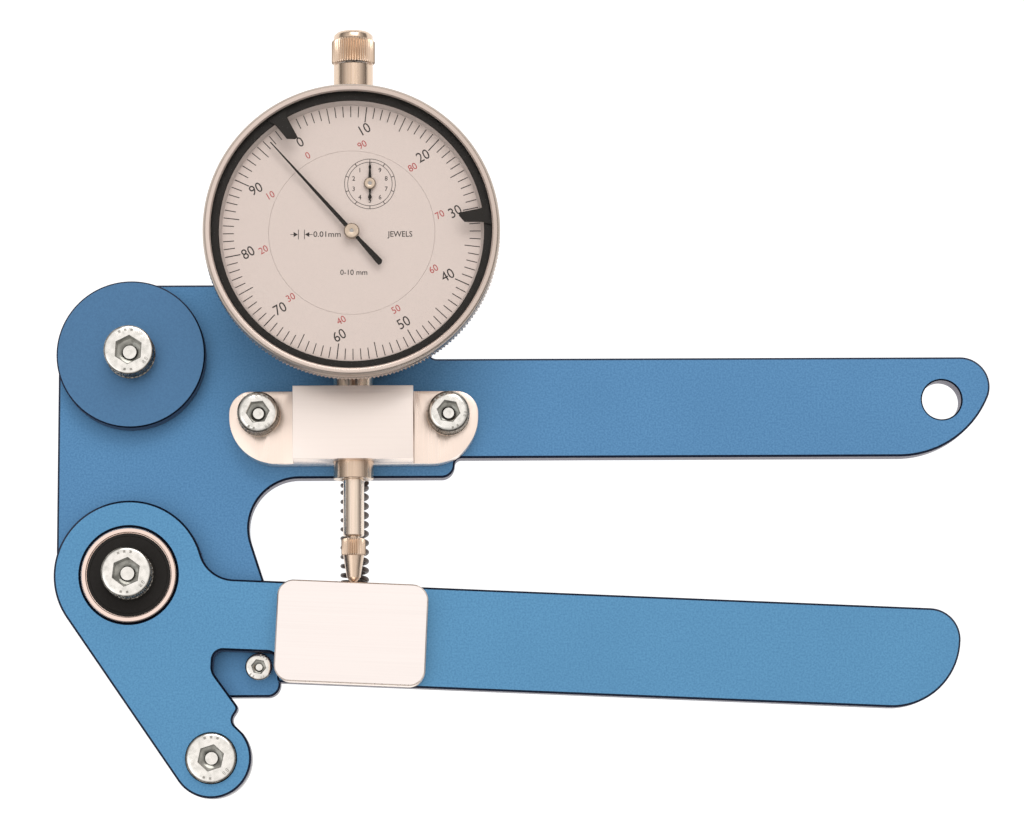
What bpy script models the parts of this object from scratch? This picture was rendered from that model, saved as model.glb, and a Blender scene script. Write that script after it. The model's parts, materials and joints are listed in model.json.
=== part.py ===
"""A hand-held spoke tension gauge with a dial indicator, built as separate pieces.

Sizes are in millimetres and become metres when a shape is made. The design frame has its origin on
the lever's pivot axis at the front face of the body plate: +X runs along the handles, +Y points from
the lever to the dial and +Z points out of the front. The frame empty carries it to the world, where
the bottom centre of the whole gauge is the origin.
"""

import math

import bmesh
import bpy
from mathutils import Vector

MM = 0.001
GAP = 0.2

# Plates and levels. The body plate's front face is at zero.
PLATE = 5.0
LEVER_BACK = 0.5
LEVER_FRONT = LEVER_BACK + PLATE
REST_ANGLE = -2.65

# Body plate.
BODY_LEFT = -15.0
BODY_TOP = 59.8
BLOCK_RIGHT = 60.0
HANDLE_TOP = 44.4
HANDLE_BOTTOM = 24.0
ROOF = 20.0
THROAT_RADIUS = 10.1
THROAT_CORNER = (19.9, ROOF)
STEP_X = 65.35
TIP_RADIUS = 6.0
TIP_CENTRE_X = 168.65
SWEEP_RADIUS = 20.0
SWEEP_CENTRE = (155.8, HANDLE_BOTTOM + SWEEP_RADIUS)
FOOT_BOTTOM = -24.2
FOOT_RIGHT = 30.15
HANG_HOLE = (164.7, 35.6)
HANG_RADIUS = 4.0

# Support disc and the three rollers behind the plates.
DISC_RADIUS = 15.0
DISC_THICKNESS = 4.5
SUPPORT = (0.0, 44.8)
PIVOT = (0.0, 0.0)
ROLLER_RADIUS = 7.0
ROLLER_GROOVE = 5.2
ROLLER_WIDTH = 6.0
BUSH_RADIUS = 4.0
BUSH_BORE = 3.1
GROOVE_LIP = 1.9
GROOVE_WAIST = 0.9
GROOVE_ROUNDING = 0.3
ROLLER_BACK = -PLATE - 2 * GAP - ROLLER_WIDTH
NUT_HEIGHT = 3.2
NUT_FLATS = 10.0
NUT_FRONT = ROLLER_BACK - 2 * GAP
STUD_END = NUT_FRONT - NUT_HEIGHT - 0.6

# Lever, in its own frame: the handle's top edge is at zero and the pivot is the origin.
EYE_RADIUS = 15.0
LEVER_WIDTH = 20.2
LEVER_END = 167.05
LEVER_FILLET = 7.0
CLAW = (18.32, -35.79)
CLAW_RADIUS = 7.95
NOTCH_TOP = -14.25
NOTCH_LEFT = 17.65
NOTCH_RIGHT = 30.6
STOP = (25.9, -18.3)

# Deep-groove bearing, 6 x 19 x 6.
BEARING_BORE = 3.1
BEARING_OUTER = 9.5
BEARING_BACK = 0.1
BEARING_FRONT = 6.0
BALL_CIRCLE = 6.3
BALL_RADIUS = 1.5
BALLS = 8
CAGE_HALF_WIDTH = 0.4
CAGE_HALF_HEIGHT = 0.5

# Anvil block and the spring block behind the lever, in the lever's frame.
ANVIL_LEFT = 30.1
ANVIL_RIGHT = 60.1
ANVIL_CORNER = 3.2
ANVIL_THICKNESS = 4.9
SPRING_BLOCK_LEFT = 33.0
SPRING_BLOCK_RIGHT = 57.0
SPRING_BLOCK_BACK = -4.6
ANVIL_SCREWS = (36.5, 53.5)

# Handle spring, between the body plate's roof and the spring block.
SPRING_RADIUS = 2.45
SPRING_WIRE = 0.475
SPRING_LOW = -1.6
SPRING_HIGH = 19.3
SPRING_TURNS = 11
SPRING_LEVEL = -PLATE / 2
SPRING_PIN = 1.3
SPRING_PIN_HOLE = 1.7
RETURN_COIL = 0.95
RETURN_WIRE = 0.15
RETURN_LOW = 46.0
RETURN_LEVEL = 3.5
HAIRSPRING_WIRE = 0.07
HAIRSPRING_STEPS = 14
HAIRSPRING_TURNS = 3

# Dial indicator. Its spindle lies along Y at SPINDLE_X.
SPINDLE_X = 45.0
SPINDLE_LEVEL = 7.2
DIAL_Y = 66.6
CASE_RADIUS = 26.4
CASE_WALL = 2.0
CASE_BACK = 2.1
CASE_FRONT = 19.5
COVER_BACK = 0.5
BEZEL_RADIUS = 29.5
BEZEL_BACK = 19.2
BEZEL_FRONT = 24.9
SEAT_RADIUS = 28.75
WINDOW_RADIUS = 27.8
FACE_BACK = 19.8
FACE_FRONT = 20.6
SCALE_INNER = 16.75
FACE_OUTER = 28.55
RING_INNER = 26.25
RING_FRONT = 23.1
MARKER_BACK = 23.2
MARKER_FRONT = 23.5
CRYSTAL_BACK = 23.65
CRYSTAL_FRONT = 24.3
MARKER_REACH = 22.1
MARKER_ANGLES = {"limit_marker_low": 122.0, "limit_marker_high": 7.0}
POINTER_ANGLE = 41.8
LONG_HAND = (21.7, 22.1)
SMALL_HAND = (20.9, 21.2)
CENTRE_ARBOR_TOP = 22.6
COUNTER_ARBOR_TOP = 21.5
STEM_RADIUS = 4.0
STEM_BORE = 2.4
STEM_LOW = 18.8
STEM_HIGH = 41.1
COLLAR_LOW = 91.3
COLLAR_HIGH = 103.6
CAP_RADIUS = 4.42
CAP_HIGH = 110.5
PLUNGER_RADIUS = 2.1
PLUNGER_LOW = 7.3
PLUNGER_HIGH = 95.0
TIP_LOW = -1.88
TIP_BALL = 1.3
TIP_COLLAR = 2.47
TIP_COLLAR_LOW = 3.65
TIP_SHANK = 1.2

# Gear train. The rack moves 10 mm for each turn of its 16-tooth pinion.
RACK_PITCH = 0.625
RACK_TEETH = 15
PINION_TEETH = 16
RACK_MODULE = RACK_PITCH / math.pi
GEAR_MODULE = 0.19
GEAR_TEETH = 100
CENTRE_TEETH = 10
GEAR_DISTANCE = GEAR_MODULE * (GEAR_TEETH + CENTRE_TEETH) / 2
ARBOR_X = 3.6
ARBOR_Y = math.sqrt(GEAR_DISTANCE**2 - ARBOR_X**2)
ARBOR_RADIUS = 0.4
GEAR_BACK = 10.5
GEAR_FRONT = 11.3
BRIDGE_BACK = 9.5
BRIDGE_FRONT = 10.1
TRAIN_PLATE_BACK = 12.5
TRAIN_PLATE_FRONT = 13.3
GUIDE_PIN_Y = 80.0
GUIDE_PIN_RADIUS = 0.8
GUIDE_PIN_HOLE = 0.95

# Clamp block with two ears.
CLAMP_HALF = 12.05
CLAMP_LOW = 22.3
CLAMP_HIGH = 37.0
CLAMP_FRONT = 13.3
EAR_HALF = 25.1
EAR_FRONT = 5.2
CLAMP_SCREW_HALF = 19.1
CLAMP_SCREW_Y = 32.2

# The world origin: the bottom centre of the gauge.
CENTRE_X = (BODY_LEFT + TIP_CENTRE_X + TIP_RADIUS) / 2
CLAW_LOW = (
    CLAW[0] * math.sin(math.radians(REST_ANGLE))
    + CLAW[1] * math.cos(math.radians(REST_ANGLE))
    - CLAW_RADIUS
)
CENTRE_Y = (CLAW_LOW + CAP_HIGH) / 2

FINISHES = {
    "blue_anodised": ((0.10, 0.27, 0.50), 0.42, 0.75),
    "bearing_steel": ((0.72, 0.68, 0.64), 0.25, 1.0),
    "seal_rubber": ((0.03, 0.028, 0.026), 0.6, 0.0),
    "zinc_steel": ((0.78, 0.76, 0.72), 0.22, 1.0),
    "bright_steel": ((0.80, 0.76, 0.72), 0.3, 1.0),
    "brushed_alloy": ((0.80, 0.76, 0.74), 0.32, 1.0),
    "spring_steel": ((0.22, 0.20, 0.19), 0.35, 1.0),
    "nickel_silver": ((0.60, 0.52, 0.44), 0.28, 1.0),
    "case_metal": ((0.66, 0.62, 0.58), 0.3, 1.0),
    "dial_card": ((0.74, 0.69, 0.66), 0.55, 0.0),
    "black_enamel": ((0.02, 0.02, 0.02), 0.4, 0.0),
    "crystal_glass": ((0.9, 0.9, 0.9), 0.05, 0.0),
    "brass": ((0.72, 0.55, 0.28), 0.3, 1.0),
}


def clear_scene():
    for obj in list(bpy.data.objects):
        bpy.data.objects.remove(obj, do_unlink=True)


def new_collection(name):
    made = bpy.data.collections.new(name)
    bpy.context.scene.collection.children.link(made)
    return made


def new_material(name):
    colour, roughness, metallic = FINISHES[name]
    material = bpy.data.materials.new(name)
    material.use_nodes = True
    shader = material.node_tree.nodes["Principled BSDF"]
    shader.inputs["Base Color"].default_value = (*colour, 1.0)
    shader.inputs["Roughness"].default_value = roughness
    shader.inputs["Metallic"].default_value = metallic
    return material


clear_scene()
PARTS = new_collection("spoke_tension_gauge")
CUTTERS = new_collection("cutters")
MATERIALS = {name: new_material(name) for name in FINISHES}


def place(obj, parent, location=(0.0, 0.0, 0.0), turn=(0.0, 0.0, 0.0)):
    obj.parent = parent
    obj.location = Vector(location) * MM
    obj.rotation_euler = [math.radians(angle) for angle in turn]


def new_empty(name, parent, location, turn_z=0.0):
    obj = bpy.data.objects.new(name, None)
    obj.empty_display_size = 0.01
    PARTS.objects.link(obj)
    place(obj, parent, location, (0.0, 0.0, turn_z))
    return obj


def add_part(name, data, finish):
    obj = bpy.data.objects.new(name, data)
    data.materials.append(MATERIALS[finish])
    PARTS.objects.link(obj)
    return obj


def as_cutter(obj):
    PARTS.objects.unlink(obj)
    CUTTERS.objects.link(obj)
    obj.hide_render = True
    obj.display_type = "WIRE"
    return obj


def boolean(obj, other, operation):
    modifier = obj.modifiers.new(other.name, "BOOLEAN")
    modifier.operation = operation
    modifier.solver = "EXACT"
    modifier.object = other


def arc(centre, radius, start, end, step=9.0):
    """Points on an arc, from start to end degrees, both included."""
    count = max(2, math.ceil(abs(end - start) / step))
    angles = [math.radians(start + (end - start) * i / count) for i in range(count + 1)]
    return [(centre[0] + radius * math.cos(a), centre[1] + radius * math.sin(a)) for a in angles]


def circle(centre, radius, count=24):
    angles = [math.tau * i / count for i in range(count)]
    return [(centre[0] + radius * math.cos(a), centre[1] + radius * math.sin(a)) for a in angles]


def hexagon(centre, flats):
    return circle(centre, flats / math.sqrt(3.0), 6)


def rounded(corners):
    """A closed outline: each corner (x, y, radius) is rounded by an arc tangent to both sides."""
    outline = []
    for i, (x, y, radius) in enumerate(corners):
        if radius == 0.0:
            outline.append((x, y))
            continue
        here = Vector((x, y))
        back = (Vector(corners[i - 1][:2]) - here).normalized()
        ahead = (Vector(corners[(i + 1) % len(corners)][:2]) - here).normalized()
        half = back.angle(ahead) / 2
        centre = here + (back + ahead).normalized() * radius / math.sin(half)
        first = here + back * radius / math.tan(half) - centre
        last = here + ahead * radius / math.tan(half) - centre
        start = math.degrees(math.atan2(first.y, first.x))
        turn = math.degrees(math.atan2(first.x * last.y - first.y * last.x, first.dot(last)))
        outline += arc(centre, radius, start, start + turn, 12.0)
    return outline


def plain(points):
    return [(x, y, 0.0) for x, y in points]


def prism(name, outline, back, front, finish, parent, holes=(), location=(0.0, 0.0)):
    """A flat piece with the given outline and holes, from the level back to the level front."""
    curve = bpy.data.curves.new(name, "CURVE")
    curve.dimensions = "2D"
    curve.fill_mode = "BOTH"
    curve.extrude = (front - back) / 2 * MM
    for points in (outline, *holes):
        spline = curve.splines.new("POLY")
        spline.points.add(len(points) - 1)
        spline.use_cyclic_u = True
        for point, (x, y) in zip(spline.points, points):
            point.co = (x * MM, y * MM, 0.0, 1.0)
    obj = add_part(name, curve, finish)
    place(obj, parent, (*location, (back + front) / 2))
    return obj


def as_mesh(curve_obj):
    """The same piece as a welded mesh, which takes Booleans."""
    bpy.context.view_layer.update()
    graph = bpy.context.evaluated_depsgraph_get()
    mesh = bpy.data.meshes.new_from_object(curve_obj.evaluated_get(graph))
    shape = bmesh.new()
    shape.from_mesh(mesh)
    bmesh.ops.remove_doubles(shape, verts=shape.verts, dist=1e-7)
    bmesh.ops.recalc_face_normals(shape, faces=shape.faces)
    shape.to_mesh(mesh)
    shape.free()
    name = curve_obj.name
    collection = curve_obj.users_collection[0]
    parent = curve_obj.parent
    location = curve_obj.location.copy()
    turn = curve_obj.rotation_euler.copy()
    bpy.data.objects.remove(curve_obj)
    obj = bpy.data.objects.new(name, mesh)
    collection.objects.link(obj)
    obj.parent = parent
    obj.location = location
    obj.rotation_euler = turn
    return obj


def turned(name, profile, finish, parent, location=(0.0, 0.0, 0.0), steps=32, along="Z"):
    """A turned piece. The profile of (radius, height) runs down its outer side."""
    mesh = bpy.data.meshes.new(name)
    count = len(profile)
    edges = [(i, i + 1) for i in range(count - 1)]
    if min(radius for radius, _ in profile) > 0.0:
        edges.append((count - 1, 0))
    mesh.from_pydata([(radius * MM, 0.0, height * MM) for radius, height in profile], edges, [])
    obj = add_part(name, mesh, finish)
    screw = obj.modifiers.new("Turn", "SCREW")
    screw.steps = steps
    screw.render_steps = steps
    screw.use_merge_vertices = True
    screw.merge_threshold = 1e-6
    screw.use_smooth_shade = True
    place(obj, parent, location, (-90.0 if along == "Y" else 0.0, 0.0, 0.0))
    return obj


def ring(inner, outer, back, front):
    """The profile of a plain ring."""
    return [(outer, front), (outer, back), (inner, back), (inner, front)]


def rod(radius, back, front):
    """The profile of a plain rod."""
    return [(0.0, front), (radius, front), (radius, back), (0.0, back)]


def wire(name, points, radius, resolution, finish, parent, location=(0.0, 0.0, 0.0)):
    """A wire of round section through the points, with closed ends."""
    curve = bpy.data.curves.new(name, "CURVE")
    curve.dimensions = "3D"
    curve.bevel_depth = radius * MM
    curve.bevel_resolution = resolution
    curve.use_fill_caps = True
    spline = curve.splines.new("POLY")
    spline.points.add(len(points) - 1)
    for point, (x, y, z) in zip(spline.points, points):
        point.co = (x * MM, y * MM, z * MM, 1.0)
    obj = add_part(name, curve, finish)
    place(obj, parent, location)
    return obj


def coil_points(radius, low, high, turns, per_turn):
    """A helix about the Y axis."""
    count = turns * per_turn
    points = []
    for i in range(count + 1):
        angle = math.tau * i / per_turn
        along = low + (high - low) * i / count
        points.append((radius * math.cos(angle), along, radius * math.sin(angle)))
    return points


def cap_screw(name, parent, at, seat, size, end, steps=24):
    """A cap screw with a hexagon socket. size holds its thread, head, head height and key."""
    thread, head, height, key = size
    top = seat + height
    edge = 0.05 * head
    profile = [
        (0.0, top),
        (head / 2 - edge, top),
        (head / 2, top - edge),
        (head / 2, seat),
        (thread / 2, seat),
        (thread / 2, end),
        (0.0, end),
    ]
    obj = turned(name, profile, "zinc_steel", parent, (*at, 0.0), steps)
    socket = prism(name + "_socket", hexagon(at, key), top - height / 2, top + 1.0, "zinc_steel", parent)
    boolean(obj, as_cutter(as_mesh(socket)), "DIFFERENCE")
    return obj


M3 = (3.0, 5.5, 3.0, 2.5)
M4 = (4.0, 7.0, 4.0, 3.0)
M5 = (5.0, 8.5, 5.0, 4.0)
M6 = (6.0, 10.0, 6.0, 5.0)
M6_LOW = (6.0, 10.1, 4.0, 4.0)


def clearance(size):
    return size[0] / 2 + 0.2


def body_outline():
    end_angle = math.degrees(
        math.atan2(
            HANDLE_TOP - TIP_RADIUS - SWEEP_CENTRE[1],
            TIP_CENTRE_X - SWEEP_CENTRE[0],
        )
    )
    tip_centre = (TIP_CENTRE_X, HANDLE_TOP - TIP_RADIUS)
    return rounded(
        [
            (BODY_LEFT, BODY_TOP, DISC_RADIUS),
            (BODY_LEFT, 1.5, 10.0),
            (8.0, FOOT_BOTTOM, 6.0),
            (FOOT_RIGHT, FOOT_BOTTOM, 2.6),
            (FOOT_RIGHT, -11.34, 6.0),
            (*THROAT_CORNER, THROAT_RADIUS),
            (STEP_X, ROOF, 2.7),
            (STEP_X, HANDLE_BOTTOM, 1.3),
            *plain(arc(SWEEP_CENTRE, SWEEP_RADIUS, -90.0, end_angle, 6.0)),
            *plain(arc(tip_centre, TIP_RADIUS, end_angle + 8.0, 90.0)),
            (BLOCK_RIGHT, HANDLE_TOP, 1.8),
            (BLOCK_RIGHT, BODY_TOP, 3.0),
        ]
    )


def build_body(frame):
    clamp_holes = [(SPINDLE_X + side * CLAMP_SCREW_HALF, CLAMP_SCREW_Y) for side in (-1, 1)]
    holes = [
        circle(HANG_HOLE, HANG_RADIUS),
        circle(SUPPORT, clearance(M6)),
        circle(PIVOT, clearance(M6)),
        circle(STOP, clearance(M3), 16),
        *[circle(at, clearance(M5)) for at in clamp_holes],
    ]
    plate = as_mesh(prism("body_plate", body_outline(), -PLATE, 0.0, "blue_anodised", frame, holes))
    seat = turned(
        "spring_pin_hole",
        rod(SPRING_PIN_HOLE, ROOF - 1.0, ROOF + 6.0),
        "blue_anodised",
        frame,
        (SPINDLE_X, 0.0, SPRING_LEVEL),
        16,
        "Y",
    )
    boolean(plate, as_cutter(seat), "DIFFERENCE")
    disc_front = GAP + DISC_THICKNESS
    turned(
        "support_disc",
        ring(clearance(M6), DISC_RADIUS, GAP, disc_front),
        "blue_anodised",
        frame,
        (*SUPPORT, 0.0),
        48,
    )
    cap_screw("support_screw", frame, SUPPORT, disc_front + GAP, M6, STUD_END)
    cap_screw("pivot_screw", frame, PIVOT, BEARING_FRONT + GAP / 2, M6, STUD_END)
    cap_screw("stop_screw", frame, STOP, GAP / 2, M3, -PLATE + GAP)
    for name, at in zip(("clamp_screw_left", "clamp_screw_right"), clamp_holes):
        cap_screw(name, frame, at, EAR_FRONT + GAP / 2, M5, -PLATE + GAP)


def build_roller(prefix, parent, at, spacer_front=None):
    """A grooved roller on its bush, held by a thin nut, behind the plate that carries it."""
    place_at = (*at, 0.0)
    bush_front = -PLATE - GAP
    turned(
        prefix + "_bush",
        ring(BUSH_BORE, BUSH_RADIUS, ROLLER_BACK - GAP, bush_front),
        "bright_steel",
        parent,
        place_at,
        24,
    )
    middle = (ROLLER_BACK + bush_front - GAP) / 2
    groove = [
        (ROLLER_RADIUS, ROLLER_BACK + ROLLER_WIDTH),
        (ROLLER_RADIUS, middle + GROOVE_LIP),
        (ROLLER_GROOVE + GROOVE_ROUNDING, middle + GROOVE_WAIST),
        (ROLLER_GROOVE, middle),
        (ROLLER_GROOVE + GROOVE_ROUNDING, middle - GROOVE_WAIST),
        (ROLLER_RADIUS, middle - GROOVE_LIP),
        (ROLLER_RADIUS, ROLLER_BACK),
        (BUSH_RADIUS + 0.1, ROLLER_BACK),
        (BUSH_RADIUS + 0.1, ROLLER_BACK + ROLLER_WIDTH),
    ]
    turned(prefix + "_roller", groove, "bearing_steel", parent, place_at, 24)
    hole = [circle(at, BUSH_BORE)]
    prism(
        prefix + "_nut",
        hexagon(at, NUT_FLATS),
        NUT_FRONT - NUT_HEIGHT,
        NUT_FRONT,
        "zinc_steel",
        parent,
        hole,
    )
    if spacer_front is not None:
        turned(
            prefix + "_spacer",
            ring(clearance(M6), CLAW_RADIUS - 0.15, -PLATE, spacer_front),
            "bright_steel",
            parent,
            place_at,
            32,
        )


def lever_outline():
    fillet_x = math.sqrt((EYE_RADIUS + LEVER_FILLET) ** 2 - LEVER_FILLET**2)
    fillet_angle = math.degrees(math.atan2(LEVER_FILLET, fillet_x))
    apart = math.hypot(*CLAW)
    tangent = math.degrees(
        math.atan2(CLAW[1], CLAW[0]) - math.acos((EYE_RADIUS - CLAW_RADIUS) / apart)
    )
    return rounded(
        [
            *plain(arc(PIVOT, EYE_RADIUS, fillet_angle, tangent + 360.0)),
            *plain(arc(CLAW, CLAW_RADIUS, tangent, 42.0)),
            (21.75, -28.3, 1.6),
            (23.3, -25.65, 1.2),
            (NOTCH_LEFT, -18.6, 3.0),
            (NOTCH_LEFT, NOTCH_TOP, 2.0),
            (NOTCH_RIGHT, NOTCH_TOP, 2.2),
            (NOTCH_RIGHT, -LEVER_WIDTH, 1.0),
            (LEVER_END, -LEVER_WIDTH, 14.0),
            (LEVER_END, 0.0, 6.2),
            *plain(
                arc((fillet_x, LEVER_FILLET), LEVER_FILLET, 270.0, 180.0 + fillet_angle)[:-1]
            ),
        ]
    )


def build_lever(pivot):
    screw_row = -LEVER_WIDTH / 2
    screw_places = [(x, screw_row) for x in ANVIL_SCREWS]
    screw_holes = [circle(at, clearance(M4), 16) for at in screw_places]
    holes = [circle(PIVOT, BEARING_OUTER + 0.15, 48), circle(CLAW, clearance(M6)), *screw_holes]
    arm = prism("lever_arm", lever_outline(), LEVER_BACK, LEVER_FRONT, "blue_anodised", pivot, holes)
    arm = as_mesh(arm)
    pocket_floor = LEVER_FRONT - 2.8
    pocket = turned(
        "claw_pocket",
        rod(5.35, pocket_floor, LEVER_FRONT + 1.0),
        "blue_anodised",
        pivot,
        (*CLAW, 0.0),
        32,
    )
    boolean(arm, as_cutter(pocket), "DIFFERENCE")
    cap_screw("claw_screw", pivot, CLAW, pocket_floor + GAP / 2, M6_LOW, STUD_END)

    anvil_back = LEVER_FRONT + GAP
    anvil = rounded(
        [
            (ANVIL_LEFT, 0.0, ANVIL_CORNER),
            (ANVIL_LEFT, -LEVER_WIDTH, ANVIL_CORNER),
            (ANVIL_RIGHT, -LEVER_WIDTH, ANVIL_CORNER),
            (ANVIL_RIGHT, 0.0, ANVIL_CORNER),
        ]
    )
    anvil = as_mesh(
        prism("anvil_block", anvil, anvil_back, anvil_back + ANVIL_THICKNESS, "brushed_alloy", pivot)
    )
    block = rounded(
        [
            (SPRING_BLOCK_LEFT, -0.6, 1.5),
            (SPRING_BLOCK_LEFT, 0.7 - LEVER_WIDTH, 1.5),
            (SPRING_BLOCK_RIGHT, 0.7 - LEVER_WIDTH, 1.5),
            (SPRING_BLOCK_RIGHT, -0.6, 1.5),
        ]
    )
    block_front = LEVER_BACK - GAP
    block = as_mesh(
        prism(
            "spring_block",
            block,
            SPRING_BLOCK_BACK,
            block_front,
            "brushed_alloy",
            pivot,
            screw_holes,
        )
    )
    pin_x = SPINDLE_X
    pin_hole = turned(
        "lower_pin_hole",
        rod(SPRING_PIN_HOLE, -6.5, 1.0),
        "brushed_alloy",
        pivot,
        (pin_x, 0.0, SPRING_LEVEL),
        16,
        "Y",
    )
    boolean(block, as_cutter(pin_hole), "DIFFERENCE")
    turned(
        "spring_pin_lower",
        rod(SPRING_PIN, -6.2, 1.3),
        "bright_steel",
        pivot,
        (pin_x, 0.0, SPRING_LEVEL),
        16,
        "Y",
    )
    for name, at in zip(("anvil_screw_left", "anvil_screw_right"), screw_places):
        thread, head, height, key = M4
        seat = SPRING_BLOCK_BACK - GAP / 2
        end = anvil_back + 3.0
        hole = turned(
            name + "_hole",
            rod(clearance(M4), LEVER_FRONT, end + 0.3),
            "brushed_alloy",
            pivot,
            (*at, 0.0),
            16,
        )
        boolean(anvil, as_cutter(hole), "DIFFERENCE")
        profile = [
            (0.0, end),
            (thread / 2, end),
            (thread / 2, seat),
            (head / 2, seat),
            (head / 2, seat - height),
            (0.0, seat - height),
        ]
        screw = turned(name, profile, "zinc_steel", pivot, (*at, 0.0), 16)
        socket = prism(
            name + "_socket",
            hexagon(at, key),
            seat - height - 1.0,
            seat - height / 2,
            "zinc_steel",
            pivot,
        )
        boolean(screw, as_cutter(as_mesh(socket)), "DIFFERENCE")
    build_roller("claw", pivot, CLAW, LEVER_BACK - GAP)


def build_bearing(frame, pivot):
    turned(
        "bearing_inner_ring",
        ring(BEARING_BORE, 4.65, BEARING_BACK, BEARING_FRONT),
        "bearing_steel",
        frame,
    )
    step = 0.7
    outer = [
        (BEARING_OUTER, BEARING_FRONT),
        (BEARING_OUTER, BEARING_BACK),
        (8.5, BEARING_BACK),
        (8.5, BEARING_BACK + step),
        (7.95, BEARING_BACK + step),
        (7.95, BEARING_FRONT - step),
        (8.5, BEARING_FRONT - step),
        (8.5, BEARING_FRONT),
    ]
    turned("bearing_outer_ring", outer, "bearing_steel", pivot, steps=40)
    seal = 0.4
    for name, back in (
        ("bearing_seal_front", BEARING_FRONT - seal - 0.1),
        ("bearing_seal_rear", BEARING_BACK + 0.1),
    ):
        turned(name, ring(4.85, 8.35, back, back + seal), "seal_rubber", pivot)
    middle = (BEARING_FRONT + BEARING_BACK) / 2
    cage_ring = ring(
        BALL_CIRCLE - CAGE_HALF_WIDTH,
        BALL_CIRCLE + CAGE_HALF_WIDTH,
        -CAGE_HALF_HEIGHT,
        CAGE_HALF_HEIGHT,
    )
    cage = turned("bearing_balls", cage_ring, "bearing_steel", frame, (0.0, 0.0, middle), 24)
    for i in range(BALLS):
        angle = math.tau * i / BALLS
        mesh = bpy.data.meshes.new(f"ball_{i + 1}")
        shape = bmesh.new()
        bmesh.ops.create_uvsphere(shape, u_segments=8, v_segments=5, radius=BALL_RADIUS * MM)
        shape.to_mesh(mesh)
        shape.free()
        ball = add_part(f"ball_{i + 1}", mesh, "bearing_steel")
        spot = (BALL_CIRCLE * math.cos(angle), BALL_CIRCLE * math.sin(angle), middle)
        place(ball, frame, spot)
        boolean(cage, as_cutter(ball), "UNION")


def build_springs(frame):
    wire(
        "handle_spring",
        coil_points(SPRING_RADIUS, SPRING_LOW, SPRING_HIGH, SPRING_TURNS, 12),
        SPRING_WIRE,
        2,
        "spring_steel",
        frame,
        (SPINDLE_X, 0.0, SPRING_LEVEL),
    )
    turned(
        "spring_pin_upper",
        rod(SPRING_PIN, ROOF - 2.0, ROOF + 5.8),
        "bright_steel",
        frame,
        (SPINDLE_X, 0.0, SPRING_LEVEL),
        16,
        "Y",
    )
    wire(
        "return_spring",
        coil_points(RETURN_COIL, RETURN_LOW, GUIDE_PIN_Y - 1.6, 10, 8),
        RETURN_WIRE,
        0,
        "spring_steel",
        frame,
        (SPINDLE_X, 0.0, RETURN_LEVEL),
    )


def build_clamp(frame):
    ears = rounded(
        [
            (SPINDLE_X - EAR_HALF, CLAMP_HIGH, 4.5),
            (SPINDLE_X - EAR_HALF, CLAMP_LOW, 9.5),
            (SPINDLE_X + EAR_HALF, CLAMP_LOW, 9.5),
            (SPINDLE_X + EAR_HALF, CLAMP_HIGH, 4.5),
        ]
    )
    screw_holes = [
        circle((SPINDLE_X + side * CLAMP_SCREW_HALF, CLAMP_SCREW_Y), clearance(M5))
        for side in (-1, 1)
    ]
    block = as_mesh(prism("clamp_block", ears, GAP, EAR_FRONT, "brushed_alloy", frame, screw_holes))
    middle = [
        (SPINDLE_X - CLAMP_HALF, CLAMP_LOW),
        (SPINDLE_X + CLAMP_HALF, CLAMP_LOW),
        (SPINDLE_X + CLAMP_HALF, CLAMP_HIGH),
        (SPINDLE_X - CLAMP_HALF, CLAMP_HIGH),
    ]
    saddle = prism("clamp_saddle", middle, GAP, CLAMP_FRONT, "brushed_alloy", frame)
    boolean(block, as_cutter(as_mesh(saddle)), "UNION")
    bore = turned(
        "clamp_bore",
        rod(STEM_RADIUS + 0.1, CLAMP_LOW - 2.0, CLAMP_HIGH + 2.0),
        "brushed_alloy",
        frame,
        (SPINDLE_X, 0.0, SPINDLE_LEVEL),
        32,
        "Y",
    )
    boolean(block, as_cutter(bore), "DIFFERENCE")


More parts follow.
